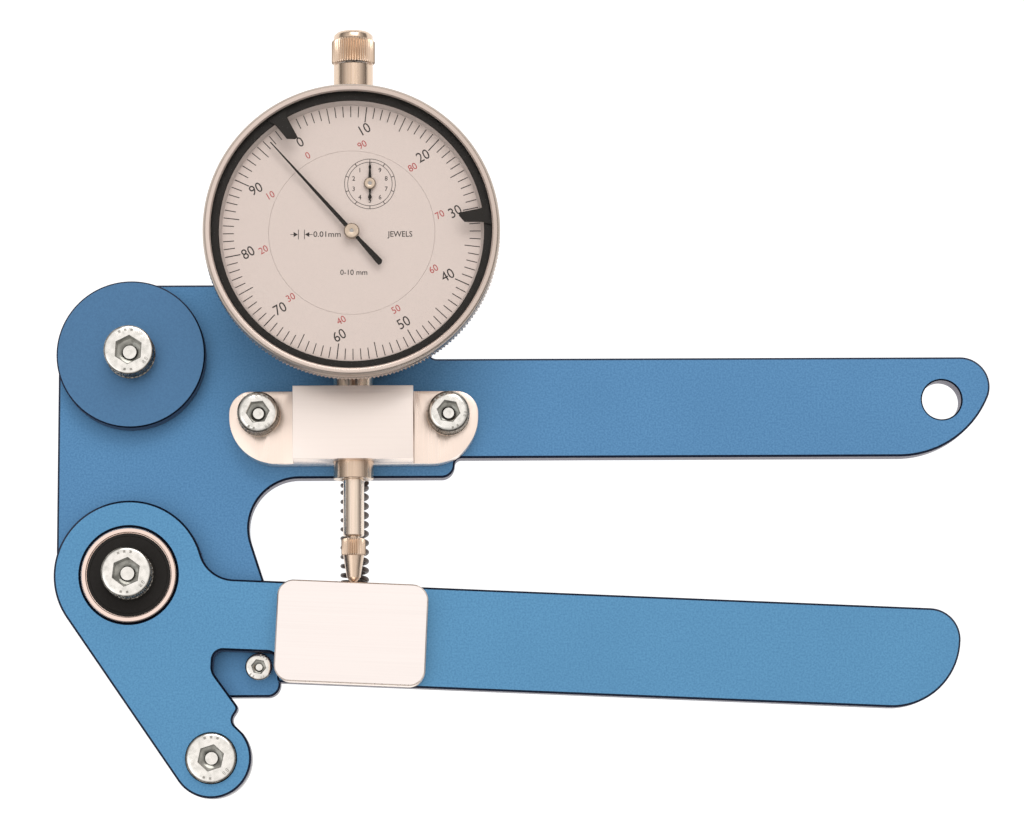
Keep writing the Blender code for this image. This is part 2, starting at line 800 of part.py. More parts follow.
def build_case(frame):
    spindle = (SPINDLE_X, 0.0, SPINDLE_LEVEL)
    centre = (SPINDLE_X, DIAL_Y, 0.0)
    wall = CASE_RADIUS - CASE_WALL
    shell = [
        (CASE_RADIUS, CASE_FRONT),
        (CASE_RADIUS, CASE_BACK),
        (wall, CASE_BACK),
        (wall, TRAIN_PLATE_BACK - 0.1),
        (wall + 0.6, TRAIN_PLATE_BACK - 0.1),
        (wall + 0.6, CASE_FRONT),
    ]
    case = turned("dial_case", shell, "case_metal", frame, centre, 48)
    bore = turned(
        "case_bore",
        rod(STEM_RADIUS + 0.15, STEM_LOW, COLLAR_HIGH),
        "case_metal",
        frame,
        spindle,
        32,
        "Y",
    )
    boolean(case, as_cutter(bore), "DIFFERENCE")
    turned(
        "case_cover",
        [
            (0.0, CASE_BACK - 0.1),
            (CASE_RADIUS - 0.4, CASE_BACK - 0.1),
            (CASE_RADIUS - 0.4, COVER_BACK + 0.5),
            (CASE_RADIUS - 0.9, COVER_BACK),
            (0.0, COVER_BACK),
        ],
        "case_metal",
        frame,
        centre,
        48,
    )
    stem = ring(STEM_BORE, STEM_RADIUS, STEM_LOW, STEM_HIGH)
    turned("stem", stem, "nickel_silver", frame, spindle, 32, "Y")
    turned(
        "upper_collar",
        ring(STEM_BORE, STEM_RADIUS, COLLAR_LOW, COLLAR_HIGH),
        "nickel_silver",
        frame,
        spindle,
        32,
        "Y",
    )
    dome = 1.6
    cap = [
        (0.0, CAP_HIGH),
        (CAP_RADIUS - 1.6, CAP_HIGH - 0.1),
        (CAP_RADIUS - 0.6, CAP_HIGH - 0.6),
        (CAP_RADIUS - 0.4, CAP_HIGH - dome),
        (CAP_RADIUS, CAP_HIGH - dome - 0.3),
        (CAP_RADIUS, COLLAR_HIGH + 0.7),
        (CAP_RADIUS - 0.4, COLLAR_HIGH + 0.3),
        (STEM_BORE, COLLAR_HIGH + 0.3),
        (STEM_BORE, CAP_HIGH - 2.5),
        (0.0, CAP_HIGH - 2.5),
    ]
    turned("end_cap", cap, "nickel_silver", frame, spindle, 32, "Y")


def build_plunger(frame):
    spindle = (SPINDLE_X, 0.0, SPINDLE_LEVEL)
    profile = [
        (0.0, PLUNGER_HIGH),
        (PLUNGER_RADIUS, PLUNGER_HIGH),
        (PLUNGER_RADIUS, PLUNGER_LOW),
        (1.4, PLUNGER_LOW),
        (1.4, PLUNGER_LOW + 5.0),
        (0.0, PLUNGER_LOW + 5.0),
    ]
    plunger = turned("plunger", profile, "nickel_silver", frame, spindle, 24, "Y")
    comb = as_mesh(
        prism("rack_comb", rack_gaps(), SPINDLE_LEVEL - 3.0, SPINDLE_LEVEL + 3.0, "nickel_silver", frame)
    )
    boolean(plunger, as_cutter(comb), "DIFFERENCE")
    pin_at = (SPINDLE_X, GUIDE_PIN_Y)
    hole_profile = rod(GUIDE_PIN_HOLE, 4.0, 8.6)
    pin_hole = turned("guide_pin_hole", hole_profile, "nickel_silver", frame, (*pin_at, 0.0), 16)
    boolean(plunger, as_cutter(pin_hole), "DIFFERENCE")
    turned("guide_pin", rod(GUIDE_PIN_RADIUS, 2.6, 8.4), "bright_steel", frame, (*pin_at, 0.0), 16)
    ball = [
        (TIP_BALL * math.sin(math.radians(a)), TIP_LOW + TIP_BALL * (1 - math.cos(math.radians(a))))
        for a in (75.0, 50.0, 25.0)
    ]
    contact = [
        (0.0, PLUNGER_LOW + 4.7),
        (TIP_SHANK, PLUNGER_LOW + 4.7),
        (TIP_SHANK, PLUNGER_LOW - 0.3),
        (2.3, PLUNGER_LOW - 0.4),
        (TIP_COLLAR, PLUNGER_LOW - 0.6),
        (TIP_COLLAR, TIP_COLLAR_LOW),
        (TIP_COLLAR - 0.37, TIP_COLLAR_LOW - 0.2),
        *ball,
        (0.0, TIP_LOW),
    ]
    turned("contact_point", contact, "nickel_silver", frame, spindle, 24, "Y")


def rack_gaps():
    """The outline that leaves the rack's teeth when it is cut from the plunger's side."""
    pitch_line = SPINDLE_X - ARBOR_X + RACK_MODULE * PINION_TEETH / 2
    outside = SPINDLE_X - PLUNGER_RADIUS - 1.0
    tip = SPINDLE_X - PLUNGER_RADIUS - 0.02
    root = pitch_line + 1.35 * RACK_MODULE
    mesh_y = DIAL_Y - ARBOR_Y
    outline = [(outside, mesh_y + RACK_PITCH * 1.5)]
    low = mesh_y - RACK_PITCH * (RACK_TEETH - 1.5)
    outline.append((outside, low))
    outline.append((root, low))
    for i in range(RACK_TEETH):
        tooth = low + RACK_PITCH * (i + 0.5)
        outline += [
            (root, tooth - 0.19),
            (tip, tooth - 0.08),
            (tip, tooth + 0.08),
            (root, tooth + 0.19),
        ]
    outline.append((root, mesh_y + RACK_PITCH * 1.5))
    return outline


def gear_outline(teeth, module, phase):
    """Straight-flanked teeth, with the middle of one tooth at phase degrees."""
    pitch_radius = module * teeth / 2
    pitch = 360.0 / teeth
    outline = []
    for i in range(teeth):
        middle = phase + pitch * i
        for share, radius in (
            (-0.30, pitch_radius - 1.1 * module),
            (-0.10, pitch_radius + 0.75 * module),
            (0.10, pitch_radius + 0.75 * module),
            (0.30, pitch_radius - 1.1 * module),
        ):
            angle = math.radians(middle + share * pitch)
            outline.append((radius * math.cos(angle), radius * math.sin(angle)))
    return outline


def build_movement(frame):
    main = (SPINDLE_X - ARBOR_X, DIAL_Y - ARBOR_Y)
    middle = (SPINDLE_X, DIAL_Y)
    counter = (SPINDLE_X + ARBOR_X, DIAL_Y + ARBOR_Y)
    towards_counter = math.degrees(math.atan2(ARBOR_Y, ARBOR_X))
    bore = [circle((0.0, 0.0), ARBOR_RADIUS + 0.05, 12)]

    def arbor(name, at, back, front):
        turned(name, rod(ARBOR_RADIUS, back, front), "bright_steel", frame, (*at, 0.0), 12)

    def gear(name, at, teeth, module, phase, back, front):
        outline = gear_outline(teeth, module, phase)
        prism(name, outline, back, front, "brass", frame, bore, at)

    half_tooth = 180.0 / PINION_TEETH
    arbor("main_arbor", main, 2.6, TRAIN_PLATE_FRONT - 0.3)
    gear("rack_pinion", main, PINION_TEETH, RACK_MODULE, half_tooth, 6.0, 8.4)
    gear("main_gear", main, GEAR_TEETH, GEAR_MODULE, towards_counter, GEAR_BACK, GEAR_FRONT)
    arbor("centre_arbor", middle, BRIDGE_BACK + 0.2, CENTRE_ARBOR_TOP)
    half_tooth = 180.0 / CENTRE_TEETH
    gear(
        "centre_pinion",
        middle,
        CENTRE_TEETH,
        GEAR_MODULE,
        towards_counter + half_tooth,
        GEAR_BACK - 0.1,
        GEAR_FRONT + 0.2,
    )
    arbor("counter_arbor", counter, BRIDGE_BACK + 0.2, COUNTER_ARBOR_TOP)
    gear(
        "hairspring_gear",
        counter,
        GEAR_TEETH,
        GEAR_MODULE,
        towards_counter,
        GEAR_BACK,
        GEAR_FRONT,
    )
    spiral = []
    steps = HAIRSPRING_TURNS * HAIRSPRING_STEPS
    for i in range(steps + 1):
        angle = math.tau * i / HAIRSPRING_STEPS
        radius = 0.9 + 2.6 * i / steps
        spiral.append((radius * math.cos(angle), radius * math.sin(angle), 0.0))
    spiral_level = (GEAR_FRONT + TRAIN_PLATE_BACK) / 2
    wire("hairspring", spiral, HAIRSPRING_WIRE, 0, "spring_steel", frame, (*counter, spiral_level))

    pivot_hole = ARBOR_RADIUS + 0.12
    for name, back, front, radius in (
        ("movement_bridge", BRIDGE_BACK, BRIDGE_FRONT, CASE_RADIUS - CASE_WALL - 0.5),
        ("movement_plate", TRAIN_PLATE_BACK, TRAIN_PLATE_FRONT, CASE_RADIUS - CASE_WALL + 0.4),
    ):
        holes = [circle(at, pivot_hole, 12) for at in (main, middle, counter)]
        prism(name, circle(middle, radius, 48), back, front, "brass", frame, holes)
    face_holes = [circle(middle, 1.0, 16), circle(counter, 0.9, 16)]
    prism(
        "inner_dial",
        circle(middle, SCALE_INNER - 0.25, 48),
        FACE_BACK,
        FACE_FRONT,
        "dial_card",
        frame,
        face_holes,
    )


def build_pointers(frame):
    middle = (SPINDLE_X, DIAL_Y)
    counter = (SPINDLE_X + ARBOR_X, DIAL_Y + ARBOR_Y)
    bore = [circle((0.0, 0.0), ARBOR_RADIUS + 0.05, 12)]
    tail = 8.6
    tip = 24.2
    hub = 1.45
    long_hand = [
        (0.12, tip),
        (-0.12, tip),
        *arc((0.0, 0.0), hub, 95.0, 240.0, 15.0),
        (-0.6, -tail),
        (0.6, -tail),
        *arc((0.0, 0.0), hub, 300.0, 445.0, 15.0),
    ]
    hand = prism("long_pointer", long_hand, *LONG_HAND, "black_enamel", frame, bore, middle)
    hand.rotation_euler.z = math.radians(POINTER_ANGLE)
    small_hub = 1.25
    short_hand = [
        (0.1, 4.2),
        (-0.1, 4.2),
        *arc((0.0, 0.0), small_hub, 95.0, 250.0, 15.0),
        (-0.35, -3.2),
        (0.35, -3.2),
        *arc((0.0, 0.0), small_hub, 290.0, 445.0, 15.0),
    ]
    prism("small_pointer", short_hand, *SMALL_HAND, "black_enamel", frame, bore, counter)


def build_bezel(bezel):
    profile = [
        (BEZEL_RADIUS - 0.35, BEZEL_FRONT),
        (BEZEL_RADIUS, BEZEL_FRONT - 0.8),
        (BEZEL_RADIUS, BEZEL_BACK),
        (CASE_RADIUS + 0.25, BEZEL_BACK),
        (CASE_RADIUS + 0.25, FACE_BACK - 0.1),
        (SEAT_RADIUS, FACE_BACK - 0.1),
        (SEAT_RADIUS, CRYSTAL_FRONT + 0.1),
        (WINDOW_RADIUS, CRYSTAL_FRONT + 0.1),
        (WINDOW_RADIUS, BEZEL_FRONT - 0.2),
    ]
    turned("bezel", profile, "case_metal", bezel, steps=72)
    turned(
        "scale_ring",
        ring(SCALE_INNER, FACE_OUTER, FACE_BACK, FACE_FRONT),
        "dial_card",
        bezel,
        steps=48,
    )
    turned(
        "limit_ring",
        ring(RING_INNER, FACE_OUTER, FACE_FRONT + 0.15, RING_FRONT),
        "black_enamel",
        bezel,
        steps=48,
    )
    turned("crystal", rod(FACE_OUTER, CRYSTAL_BACK, CRYSTAL_FRONT), "crystal_glass", bezel, steps=48)


def build_limit_markers(bezel):
    for name, angle in MARKER_ANGLES.items():
        tab = [
            *arc((0.0, 0.0), WINDOW_RADIUS - 0.1, -5.0, 5.0, 2.5),
            (RING_INNER - 0.3, 1.5),
            (MARKER_REACH, 1.2),
            (MARKER_REACH, -1.2),
            (RING_INNER - 0.3, -1.5),
        ]
        marker = prism(name, tab, MARKER_BACK, MARKER_FRONT, "black_enamel", bezel)
        marker.rotation_euler.z = math.radians(angle)


def build_gauge():
    frame = new_empty("gauge_frame", None, (-CENTRE_X, -CENTRE_Y, -STUD_END))
    pivot = new_empty("lever_pivot", frame, (*PIVOT, 0.0), REST_ANGLE)
    bezel = new_empty("bezel_axis", frame, (SPINDLE_X, DIAL_Y, 0.0))
    build_body(frame)
    build_roller("support", frame, SUPPORT)
    build_roller("centre", frame, PIVOT)
    build_bearing(frame, pivot)
    build_lever(pivot)
    build_springs(frame)
    build_clamp(frame)
    build_case(frame)
    build_plunger(frame)
    build_movement(frame)
    build_pointers(frame)
    build_bezel(bezel)
    build_limit_markers(bezel)


build_gauge()
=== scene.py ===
"""Looks for the spoke tension gauge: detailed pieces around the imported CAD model.

Lengths are in millimetres in the gauge's own frame, as in the CAD: the origin is on the lever's pivot
axis at the front face of the body plate, +X along the handles, +Y towards the dial, +Z to the front.
"""

import json
import math

import bmesh
import bpy
from mathutils import Euler, Matrix, Vector
from mathutils.geometry import tessellate_polygon


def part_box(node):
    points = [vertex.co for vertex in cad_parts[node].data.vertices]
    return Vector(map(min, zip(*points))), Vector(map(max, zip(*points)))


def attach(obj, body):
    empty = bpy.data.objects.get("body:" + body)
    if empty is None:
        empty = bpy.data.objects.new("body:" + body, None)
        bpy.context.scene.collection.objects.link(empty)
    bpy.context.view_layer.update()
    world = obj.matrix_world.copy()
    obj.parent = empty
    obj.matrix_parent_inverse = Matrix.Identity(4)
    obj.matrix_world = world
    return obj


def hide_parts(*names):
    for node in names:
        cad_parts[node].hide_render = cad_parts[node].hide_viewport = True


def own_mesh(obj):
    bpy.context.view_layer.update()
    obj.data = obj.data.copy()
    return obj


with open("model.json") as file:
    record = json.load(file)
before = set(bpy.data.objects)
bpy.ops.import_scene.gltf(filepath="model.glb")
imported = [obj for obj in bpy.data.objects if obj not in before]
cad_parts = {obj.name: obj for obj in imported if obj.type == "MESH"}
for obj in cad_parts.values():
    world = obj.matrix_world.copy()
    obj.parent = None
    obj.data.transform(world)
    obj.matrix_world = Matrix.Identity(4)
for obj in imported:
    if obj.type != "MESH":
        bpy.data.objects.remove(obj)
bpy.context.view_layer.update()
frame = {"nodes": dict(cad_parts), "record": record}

MM = 0.001
TURN = math.tau
RECORD = frame["record"]
BODY_OF = {n: body for body, nodes in RECORD["behaviour"]["bodies"].items() for n in nodes}
SLOT_OF = {part["node"]: part["material_slot"] for part in RECORD["subparts"]}


def centre_of(node):
    low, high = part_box(node)
    return (low + high) / 2


# The frames that pieces are put in: the gauge's and the lever's. UNPLACED is for what is joined to a
# piece or cut from it before the piece is put.
PLATE_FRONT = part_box("body_plate")[1].z
ORIGIN = Vector((centre_of("pivot_screw").x, centre_of("pivot_screw").y, PLATE_FRONT))
REST_ANGLE = math.radians(-2.65)
GAUGE = Matrix.Translation(ORIGIN)
LEVER = GAUGE @ Matrix.Rotation(REST_ANGLE, 4, "Z")
UNPLACED = Matrix.Identity(4)


def level(z):
    """A world height as a level in the gauge's frame, in millimetres."""
    return (z - ORIGIN.z) / MM


def heights(node):
    """The levels of a node's rear and front."""
    low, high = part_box(node)
    return level(low.z), level(high.z)


def spot(node):
    """A node's centre in the gauge's frame, in millimetres."""
    place = (centre_of(node) - ORIGIN) / MM
    return (place.x, place.y)


# Body plate.
PLATE = 5.0
EDGE = 0.42
BODY_LEFT = -15.0
BODY_TOP = 59.8
HANDLE_TOP = 44.4
HANDLE_BOTTOM = 24.0
ROOF = 20.0
TIP_RADIUS = 5.995
TIP_CENTRE = (168.65, HANDLE_TOP - TIP_RADIUS)
SWEEP_RADIUS = 20.0
SWEEP_CENTRE = (155.8, HANDLE_BOTTOM + SWEEP_RADIUS)
HANG_HOLE = (164.7, 35.6)
SUPPORT = (0.0, 44.8)
PIVOT = (0.0, 0.0)
STOP = (25.9, -18.3)
CLAMP_SCREWS = ((25.9, 32.2), (64.1, 32.2))
DISC_RADIUS = 15.0
M6_HOLE = 3.2
M5_HOLE = 2.7
M4_HOLE = 2.2

# Lever, in its own frame.
LEVER_BACK = 0.5
LEVER_FRONT = 5.5
LEVER_WIDTH = 20.2
LEVER_END = 167.05
EYE_RADIUS = 15.0
FILLET = 7.0
CLAW = (18.32, -35.79)
CLAW_RADIUS = 7.94
NOTCH_LEFT = 17.65
NOTCH_RIGHT = 30.6
NOTCH_TOP = -14.25
BLOCK_SCREWS = ((36.5, -10.1), (53.5, -10.1))
ANVIL = (30.1, 60.1)
ANVIL_BACK = 5.7
ANVIL_FRONT = 10.6

# What each roller rides: its prefix, frame and place.
STUDS = (("support", GAUGE, SUPPORT), ("centre", GAUGE, PIVOT), ("claw", LEVER, CLAW))

# Handle spring.
SPRING_TOP = 19.3
SPRING_LEVEL = -2.5

# Indicator. UPWARDS turns a lathe's axis from +Z to +Y.
SPINDLE = (45.0, 0.0, 7.2)
UPWARDS = (-90.0, 0.0, 0.0)
STEM_RADIUS = 4.0
STEM_BORE = 2.4
DIAL = spot("crystal")
FACE = heights("scale_ring")[1]
SUB_DIAL = (spot("counter_arbor")[0] - DIAL[0], spot("counter_arbor")[1] - DIAL[1])
SCALE_TURN = 29.3
POINTER_TURN = 41.8
CARD_DEPTH = 0.8
RING_OUTER = 28.55
PRINT = 0.02
NOTE_WEIGHT = 0.01

# Studio. SKY is the world's brightness from straight below (0) to straight above (1).
FLOOR_DROP = 0.2
SKY = ((0.0, 0.85), (0.5, 0.16), (0.66, 0.28), (0.8, 0.62), (0.93, 0.98), (1.0, 1.1))
SKY_WARMTH = (1.0, 0.955, 0.93)
LENS = 123.2
CAMERA_PLACE = (61.2, -67.3, 705.1)
CAMERA_TURN = (8.003, -1.229, -0.396)


# Materials.


def shader_of(made):
    return made.node_tree.nodes["Principled BSDF"]


def material(name, colour, roughness, metallic=0.0):
    made = bpy.data.materials.new(name)
    made.use_nodes = True
    shader = shader_of(made)
    shader.inputs["Base Color"].default_value = (*colour, 1.0)
    shader.inputs["Roughness"].default_value = roughness
    shader.inputs["Metallic"].default_value = metallic
    return made


def add_node(made, kind, **settings):
    node = made.node_tree.nodes.new(kind)
    for key, value in settings.items():
        if key in node.inputs:
            node.inputs[key].default_value = value
        else:
            setattr(node, key, value)
    return node


def link(made, source, target):
    made.node_tree.links.new(source, target)


def noise(made, scale, detail=2.0, stretch=(1.0, 1.0, 1.0)):
    """Noise in object space. scale is features per metre, and stretch packs them closer on an axis."""
    place = add_node(made, "ShaderNodeTexCoord")
    mapping = add_node(made, "ShaderNodeMapping")
    mapping.inputs["Scale"].default_value = stretch
    texture = add_node(made, "ShaderNodeTexNoise", Scale=scale, Detail=detail)
    link(made, place.outputs["Object"], mapping.inputs["Vector"])
    link(made, mapping.outputs["Vector"], texture.inputs["Vector"])
    return texture.outputs["Fac"]


def ramp(made, source, stops):
    """A colour ramp over source. Each stop is (position, colour)."""
    node = add_node(made, "ShaderNodeValToRGB")
    elements = node.color_ramp.elements
    elements[0].position, elements[0].color = stops[0][0], (*stops[0][1], 1.0)
    elements[1].position, elements[1].color = stops[-1][0], (*stops[-1][1], 1.0)
    for position, colour in stops[1:-1]:
        elements.new(position).color = (*colour, 1.0)
    link(made, source, node.inputs["Fac"])
    return node.outputs["Color"]


def spread(made, source, low, high):
    """source, which lies round 0.5, widened to run from low to high."""
    limits = {"From Min": 0.3, "From Max": 0.7, "To Min": low, "To Max": high}
    node = add_node(made, "ShaderNodeMapRange", **limits)
    link(made, source, node.inputs["Value"])
    return node.outputs["Result"]


def mix(made, share, base, colour):
    """base mixed with one colour, which takes the given share."""
    node = add_node(made, "ShaderNodeMix", data_type="RGBA")
    link(made, share, node.inputs[0])
    link(made, base, node.inputs[6])
    node.inputs[7].default_value = (*colour, 1.0)
    return node.outputs[2]


def bump(made, source, depth, strength):
    """Adds relief of the given depth in millimetres."""
    node = add_node(made, "ShaderNodeBump", Distance=depth * MM, Strength=strength)
    link(made, source, node.inputs["Height"])
    shader = shader_of(made)
    if shader.inputs["Normal"].links:
        link(made, shader.inputs["Normal"].links[0].from_socket, node.inputs["Normal"])
    link(made, node.outputs["Normal"], shader.inputs["Normal"])


def tint(made, colour):
    link(made, colour, shader_of(made).inputs["Base Color"])


def set_roughness(made, source):
    link(made, source, shader_of(made).inputs["Roughness"])


def anodised(name, dark, light, roughness, cloudy=0.2):
    """Dyed aluminium: a fine bead-blasted grain with faint cloudy patches."""
    made = material(name, light, roughness, 0.75)
    grain = noise(made, 2700.0, 3.0)
    patches = noise(made, 45.0, 3.0)
    fine = ramp(made, grain, [(0.36, dark), (0.64, light)])
    deep = tuple(0.86 * c for c in dark)
    tint(made, mix(made, spread(made, patches, 0.0, cloudy), fine, deep))
    set_roughness(made, spread(made, grain, roughness - 0.06, roughness + 0.08))
    bump(made, grain, 0.012, 0.35)
    return made


def brushed(name, dark, light, roughness, stretch, depth=0.006):
    """Bare metal with fine lines, which run along the axes where stretch is small."""
    made = material(name, light, roughness, 1.0)
    lines = noise(made, 220.0, 4.0, stretch)
    patches = noise(made, 60.0, 2.0)
    grain = ramp(made, lines, [(0.3, dark), (0.7, light)])
    tint(made, mix(made, spread(made, patches, 0.0, 0.35), grain, light))
    set_roughness(made, spread(made, lines, roughness - 0.05, roughness + 0.1))
    bump(made, lines, depth, 0.5)
    return made


def plated(name, dark, light, roughness, dent_scale=900.0):
    """Bright plating with small dents, scratches and dull spots."""
    made = material(name, light, roughness, 1.0)
    dents = noise(made, dent_scale, 3.0)
    scratches = noise(made, 500.0, 2.0, (1.0, 14.0, 1.0))
    tint(made, ramp(made, dents, [(0.25, dark), (0.6, light)]))
    set_roughness(made, spread(made, dents, roughness - 0.05, roughness + 0.12))
    bump(made, dents, 0.03, 0.35)
    bump(made, scratches, 0.006, 0.3)
    return made


def smooth_coat(name, colour, roughness, grain_scale, depth, shine=0.5, evenness=0.85):
    """A coat or moulding with a faint grain."""
    made = material(name, colour, roughness)
    shader_of(made).inputs["Specular IOR Level"].default_value = shine
    grain = noise(made, grain_scale, 3.0)
    darker = tuple(evenness * c for c in colour)
    tint(made, ramp(made, grain, [(0.3, darker), (0.7, colour)]))
    set_roughness(made, spread(made, grain, roughness - 0.05, roughness + 0.08))
    bump(made, grain, depth, 0.4)
    return made


def clear_glass():
    """A clear crystal: see-through, with a faint gloss at a slant."""
    made = material("crystal_clear", (1.0, 1.0, 1.0), 0.03)
    shader = shader_of(made)
    output = made.node_tree.nodes["Material Output"]
    clear = add_node(made, "ShaderNodeBsdfTransparent")
    gloss = add_node(made, "ShaderNodeLayerWeight", Blend=0.12)
    share = add_node(made, "ShaderNodeMath", operation="MULTIPLY")
    share.inputs[1].default_value = 0.45
    both = add_node(made, "ShaderNodeMixShader")
    link(made, gloss.outputs["Fresnel"], share.inputs[0])
    link(made, share.outputs["Value"], both.inputs["Fac"])
    link(made, clear.outputs["BSDF"], both.inputs[1])
    link(made, shader.outputs["BSDF"], both.inputs[2])
    link(made, both.outputs["Shader"], output.inputs["Surface"])
    smear = noise(made, 120.0, 2.0)
    set_roughness(made, spread(made, smear, 0.02, 0.08))
    return made


ROUND_LINES = (0.05, 0.05, 24.0)
ALONG_X = (0.12, 16.0, 16.0)
ALONG_Y = (16.0, 0.12, 16.0)
ALONG_Z = (14.0, 14.0, 0.15)

# The body's blue is a darker copy of the lever's blue: painted shade for the body plate lying under the other
# parts.
BODY_BLUE = anodised("body_blue", (0.078, 0.218, 0.42), (0.118, 0.30, 0.53), 0.46)
LEVER_BLUE = anodised("lever_blue", (0.09, 0.26, 0.47), (0.13, 0.353, 0.585), 0.46)
DISC_BLUE = anodised("disc_blue", (0.072, 0.177, 0.33), (0.083, 0.202, 0.37), 0.34, 0.08)
# Chamfer colour is painted shade: a dark navy that stands for the dim horizon reflected in the plates' edges.
EDGE_PAINTED_SHADE = anodised("edge_painted_shade", (0.006, 0.014, 0.04), (0.01, 0.022, 0.055), 0.35)
# Side wall colour is painted reflection of the pale surroundings and painted shade, a dim mauve in place of
# the plates' blue.
SIDE_SHADE_AND_REFLECTION = anodised("side_painted_shade_and_reflection", (0.085, 0.075, 0.11), (0.125, 0.105, 0.14), 0.4)
ZINC = plated("zinc_plate", (0.66, 0.66, 0.62), (0.88, 0.87, 0.83), 0.15)
# Socket colour is painted shade and painted reflection: near black with coarse bright patches for the hex
# sockets' hollows.
ZINC_SOCKET_SHADE = plated("zinc_socket_painted_shade", (0.05, 0.052, 0.045), (0.34, 0.34, 0.31), 0.12, 420.0)
# A darker copy of the zinc for the heads' bevels and knurled sides: painted shade.
ZINC_SIDE_SHADE = plated("zinc_knurl_painted_shade", (0.07, 0.065, 0.055), (0.40, 0.38, 0.34), 0.2)
# A dark grey for the screw heads' marks and the hubs' groove and rim: painted shade.
MARK_SHADE = plated("zinc_mark_painted_shade", (0.20, 0.195, 0.18), (0.42, 0.41, 0.38), 0.3)
ALLOY = brushed("brushed_alloy", (0.88, 0.825, 0.80), (0.92, 0.865, 0.84), 0.34, ALONG_X, 0.0008)
EAR = brushed("brushed_alloy_warm", (0.94, 0.80, 0.705), (0.98, 0.85, 0.755), 0.3, ALONG_Y, 0.001)
# The saddle's top is a paler, less metallic copy of the ears' alloy: painted light that offsets the dial's
# shade on it.
SADDLE = brushed("brushed_alloy_top", (0.94, 0.852, 0.795), (0.965, 0.88, 0.825), 0.34, ALONG_X, 0.0004)
shader_of(SADDLE).inputs["Metallic"].default_value = 0.6
NICKEL = brushed("nickel_silver_drawn", (0.62, 0.48, 0.37), (0.74, 0.585, 0.455), 0.22, ALONG_Z, 0.001)
CASE = brushed("case_turned", (0.59, 0.50, 0.445), (0.67, 0.575, 0.52), 0.26, ROUND_LINES, 0.001)
# Darker copies of the case metal for the bezel's sloped shoulder and outer wall: painted shade.
CASE_SHOULDER_SHADE = brushed("case_shoulder_painted_shade", (0.40, 0.335, 0.285), (0.50, 0.425, 0.37), 0.26, ROUND_LINES, 0.001)
CASE_WALL_SHADE = brushed("case_wall_painted_shade", (0.26, 0.215, 0.18), (0.42, 0.36, 0.31), 0.26, ROUND_LINES, 0.001)
PLUNGER_METAL = brushed("nickel_silver_bright", (0.76, 0.635, 0.52), (0.90, 0.765, 0.64), 0.2, ALONG_Z, 0.001)
HUB = brushed("hub_brass", (0.52, 0.425, 0.335), (0.60, 0.50, 0.40), 0.38, ROUND_LINES, 0.001)
BEARING = brushed("bearing_turned", (0.80, 0.64, 0.56), (0.92, 0.75, 0.67), 0.2, ROUND_LINES, 0.002)
TURNED = brushed("turned_steel", (0.26, 0.25, 0.245), (0.44, 0.425, 0.41), 0.28, ROUND_LINES, 0.004)
NUT_ZINC = plated("zinc_nut", (0.28, 0.28, 0.26), (0.52, 0.51, 0.48), 0.2)
SPRING = brushed("spring_wire", (0.06, 0.047, 0.042), (0.15, 0.12, 0.105), 0.4, ROUND_LINES)
SEAL = smooth_coat("seal_rubber_black", (0.013, 0.011, 0.0095), 0.6, 1500.0, 0.01, 0.25)
BLACK = smooth_coat("black_satin", (0.0115, 0.009, 0.0065), 0.45, 900.0, 0.003, 0.25)
CARD = smooth_coat("dial_card_pale", (0.728, 0.636, 0.588), 0.62, 1600.0, 0.001, 0.3, 0.97)
# A darker copy of the card colour for the limit ring's underside and inner wall: painted shade under the
# ring.
CARD_WALL_SHADE = smooth_coat("dial_card_wall_painted_shade", (0.57, 0.515, 0.485), 0.55, 1600.0, 0.001, 0.3, 0.97)
INK = smooth_coat("ink_dark", (0.026, 0.02, 0.017), 0.6, 1500.0, 0.002)
RED_INK = smooth_coat("ink_red", (0.50, 0.075, 0.075), 0.6, 1500.0, 0.002)
BRASS = brushed("brass_satin", (0.55, 0.40, 0.18), (0.75, 0.58, 0.30), 0.3, ROUND_LINES)
GLASS = clear_glass()

LOOK = {
    "blue_anodised": BODY_BLUE,
    "bearing_steel": BEARING,
    "seal_rubber": SEAL,
    "zinc_steel": ZINC,
    "bright_steel": TURNED,
    "brushed_alloy": ALLOY,
    "spring_steel": SPRING,
    "nickel_silver": NICKEL,
    "case_metal": CASE,
    "dial_card": CARD,
    "black_enamel": BLACK,
    "crystal_glass": GLASS,
    "brass": BRASS,
}


# Making pieces.


def add_object(name, data):
    made = bpy.data.objects.new(name, data)
    bpy.context.scene.collection.objects.link(made)
    return made


def piece_from(name, shape, looks):
    mesh = bpy.data.meshes.new(name)
    shape.to_mesh(mesh)
    shape.free()
    piece = add_object(name, mesh)
    for look in looks:
        mesh.materials.append(look)
    return piece


def smooth(piece, sharp=28.0):
    piece.data.shade_smooth()
    piece.data.set_sharp_from_angle(angle=math.radians(sharp))
    return piece


def put(piece, base, at=(0.0, 0.0, 0.0), turn=(0.0, 0.0, 0.0)):
    place = Matrix.Translation(Vector(at) * MM)
    angles = Euler([math.radians(angle) for angle in turn])
    piece.matrix_world = base @ place @ angles.to_matrix().to_4x4()
    return piece


def ride_with(piece, node):
    """Moves with a CAD node's body."""
    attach(piece, BODY_OF[node])
    return piece


def stand_for(piece, node):
    """Shown in place of a CAD node."""
    ride_with(piece, node)
    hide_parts(node)
    return piece


def evaluated_mesh(thing):
    bpy.context.view_layer.update()
    graph = bpy.context.evaluated_depsgraph_get()
    return bpy.data.meshes.new_from_object(thing.evaluated_get(graph))


def bake(piece):
    """Applies the piece's modifiers to its mesh."""
    mesh = evaluated_mesh(piece)
    piece.modifiers.clear()
    piece.data = mesh
    return piece


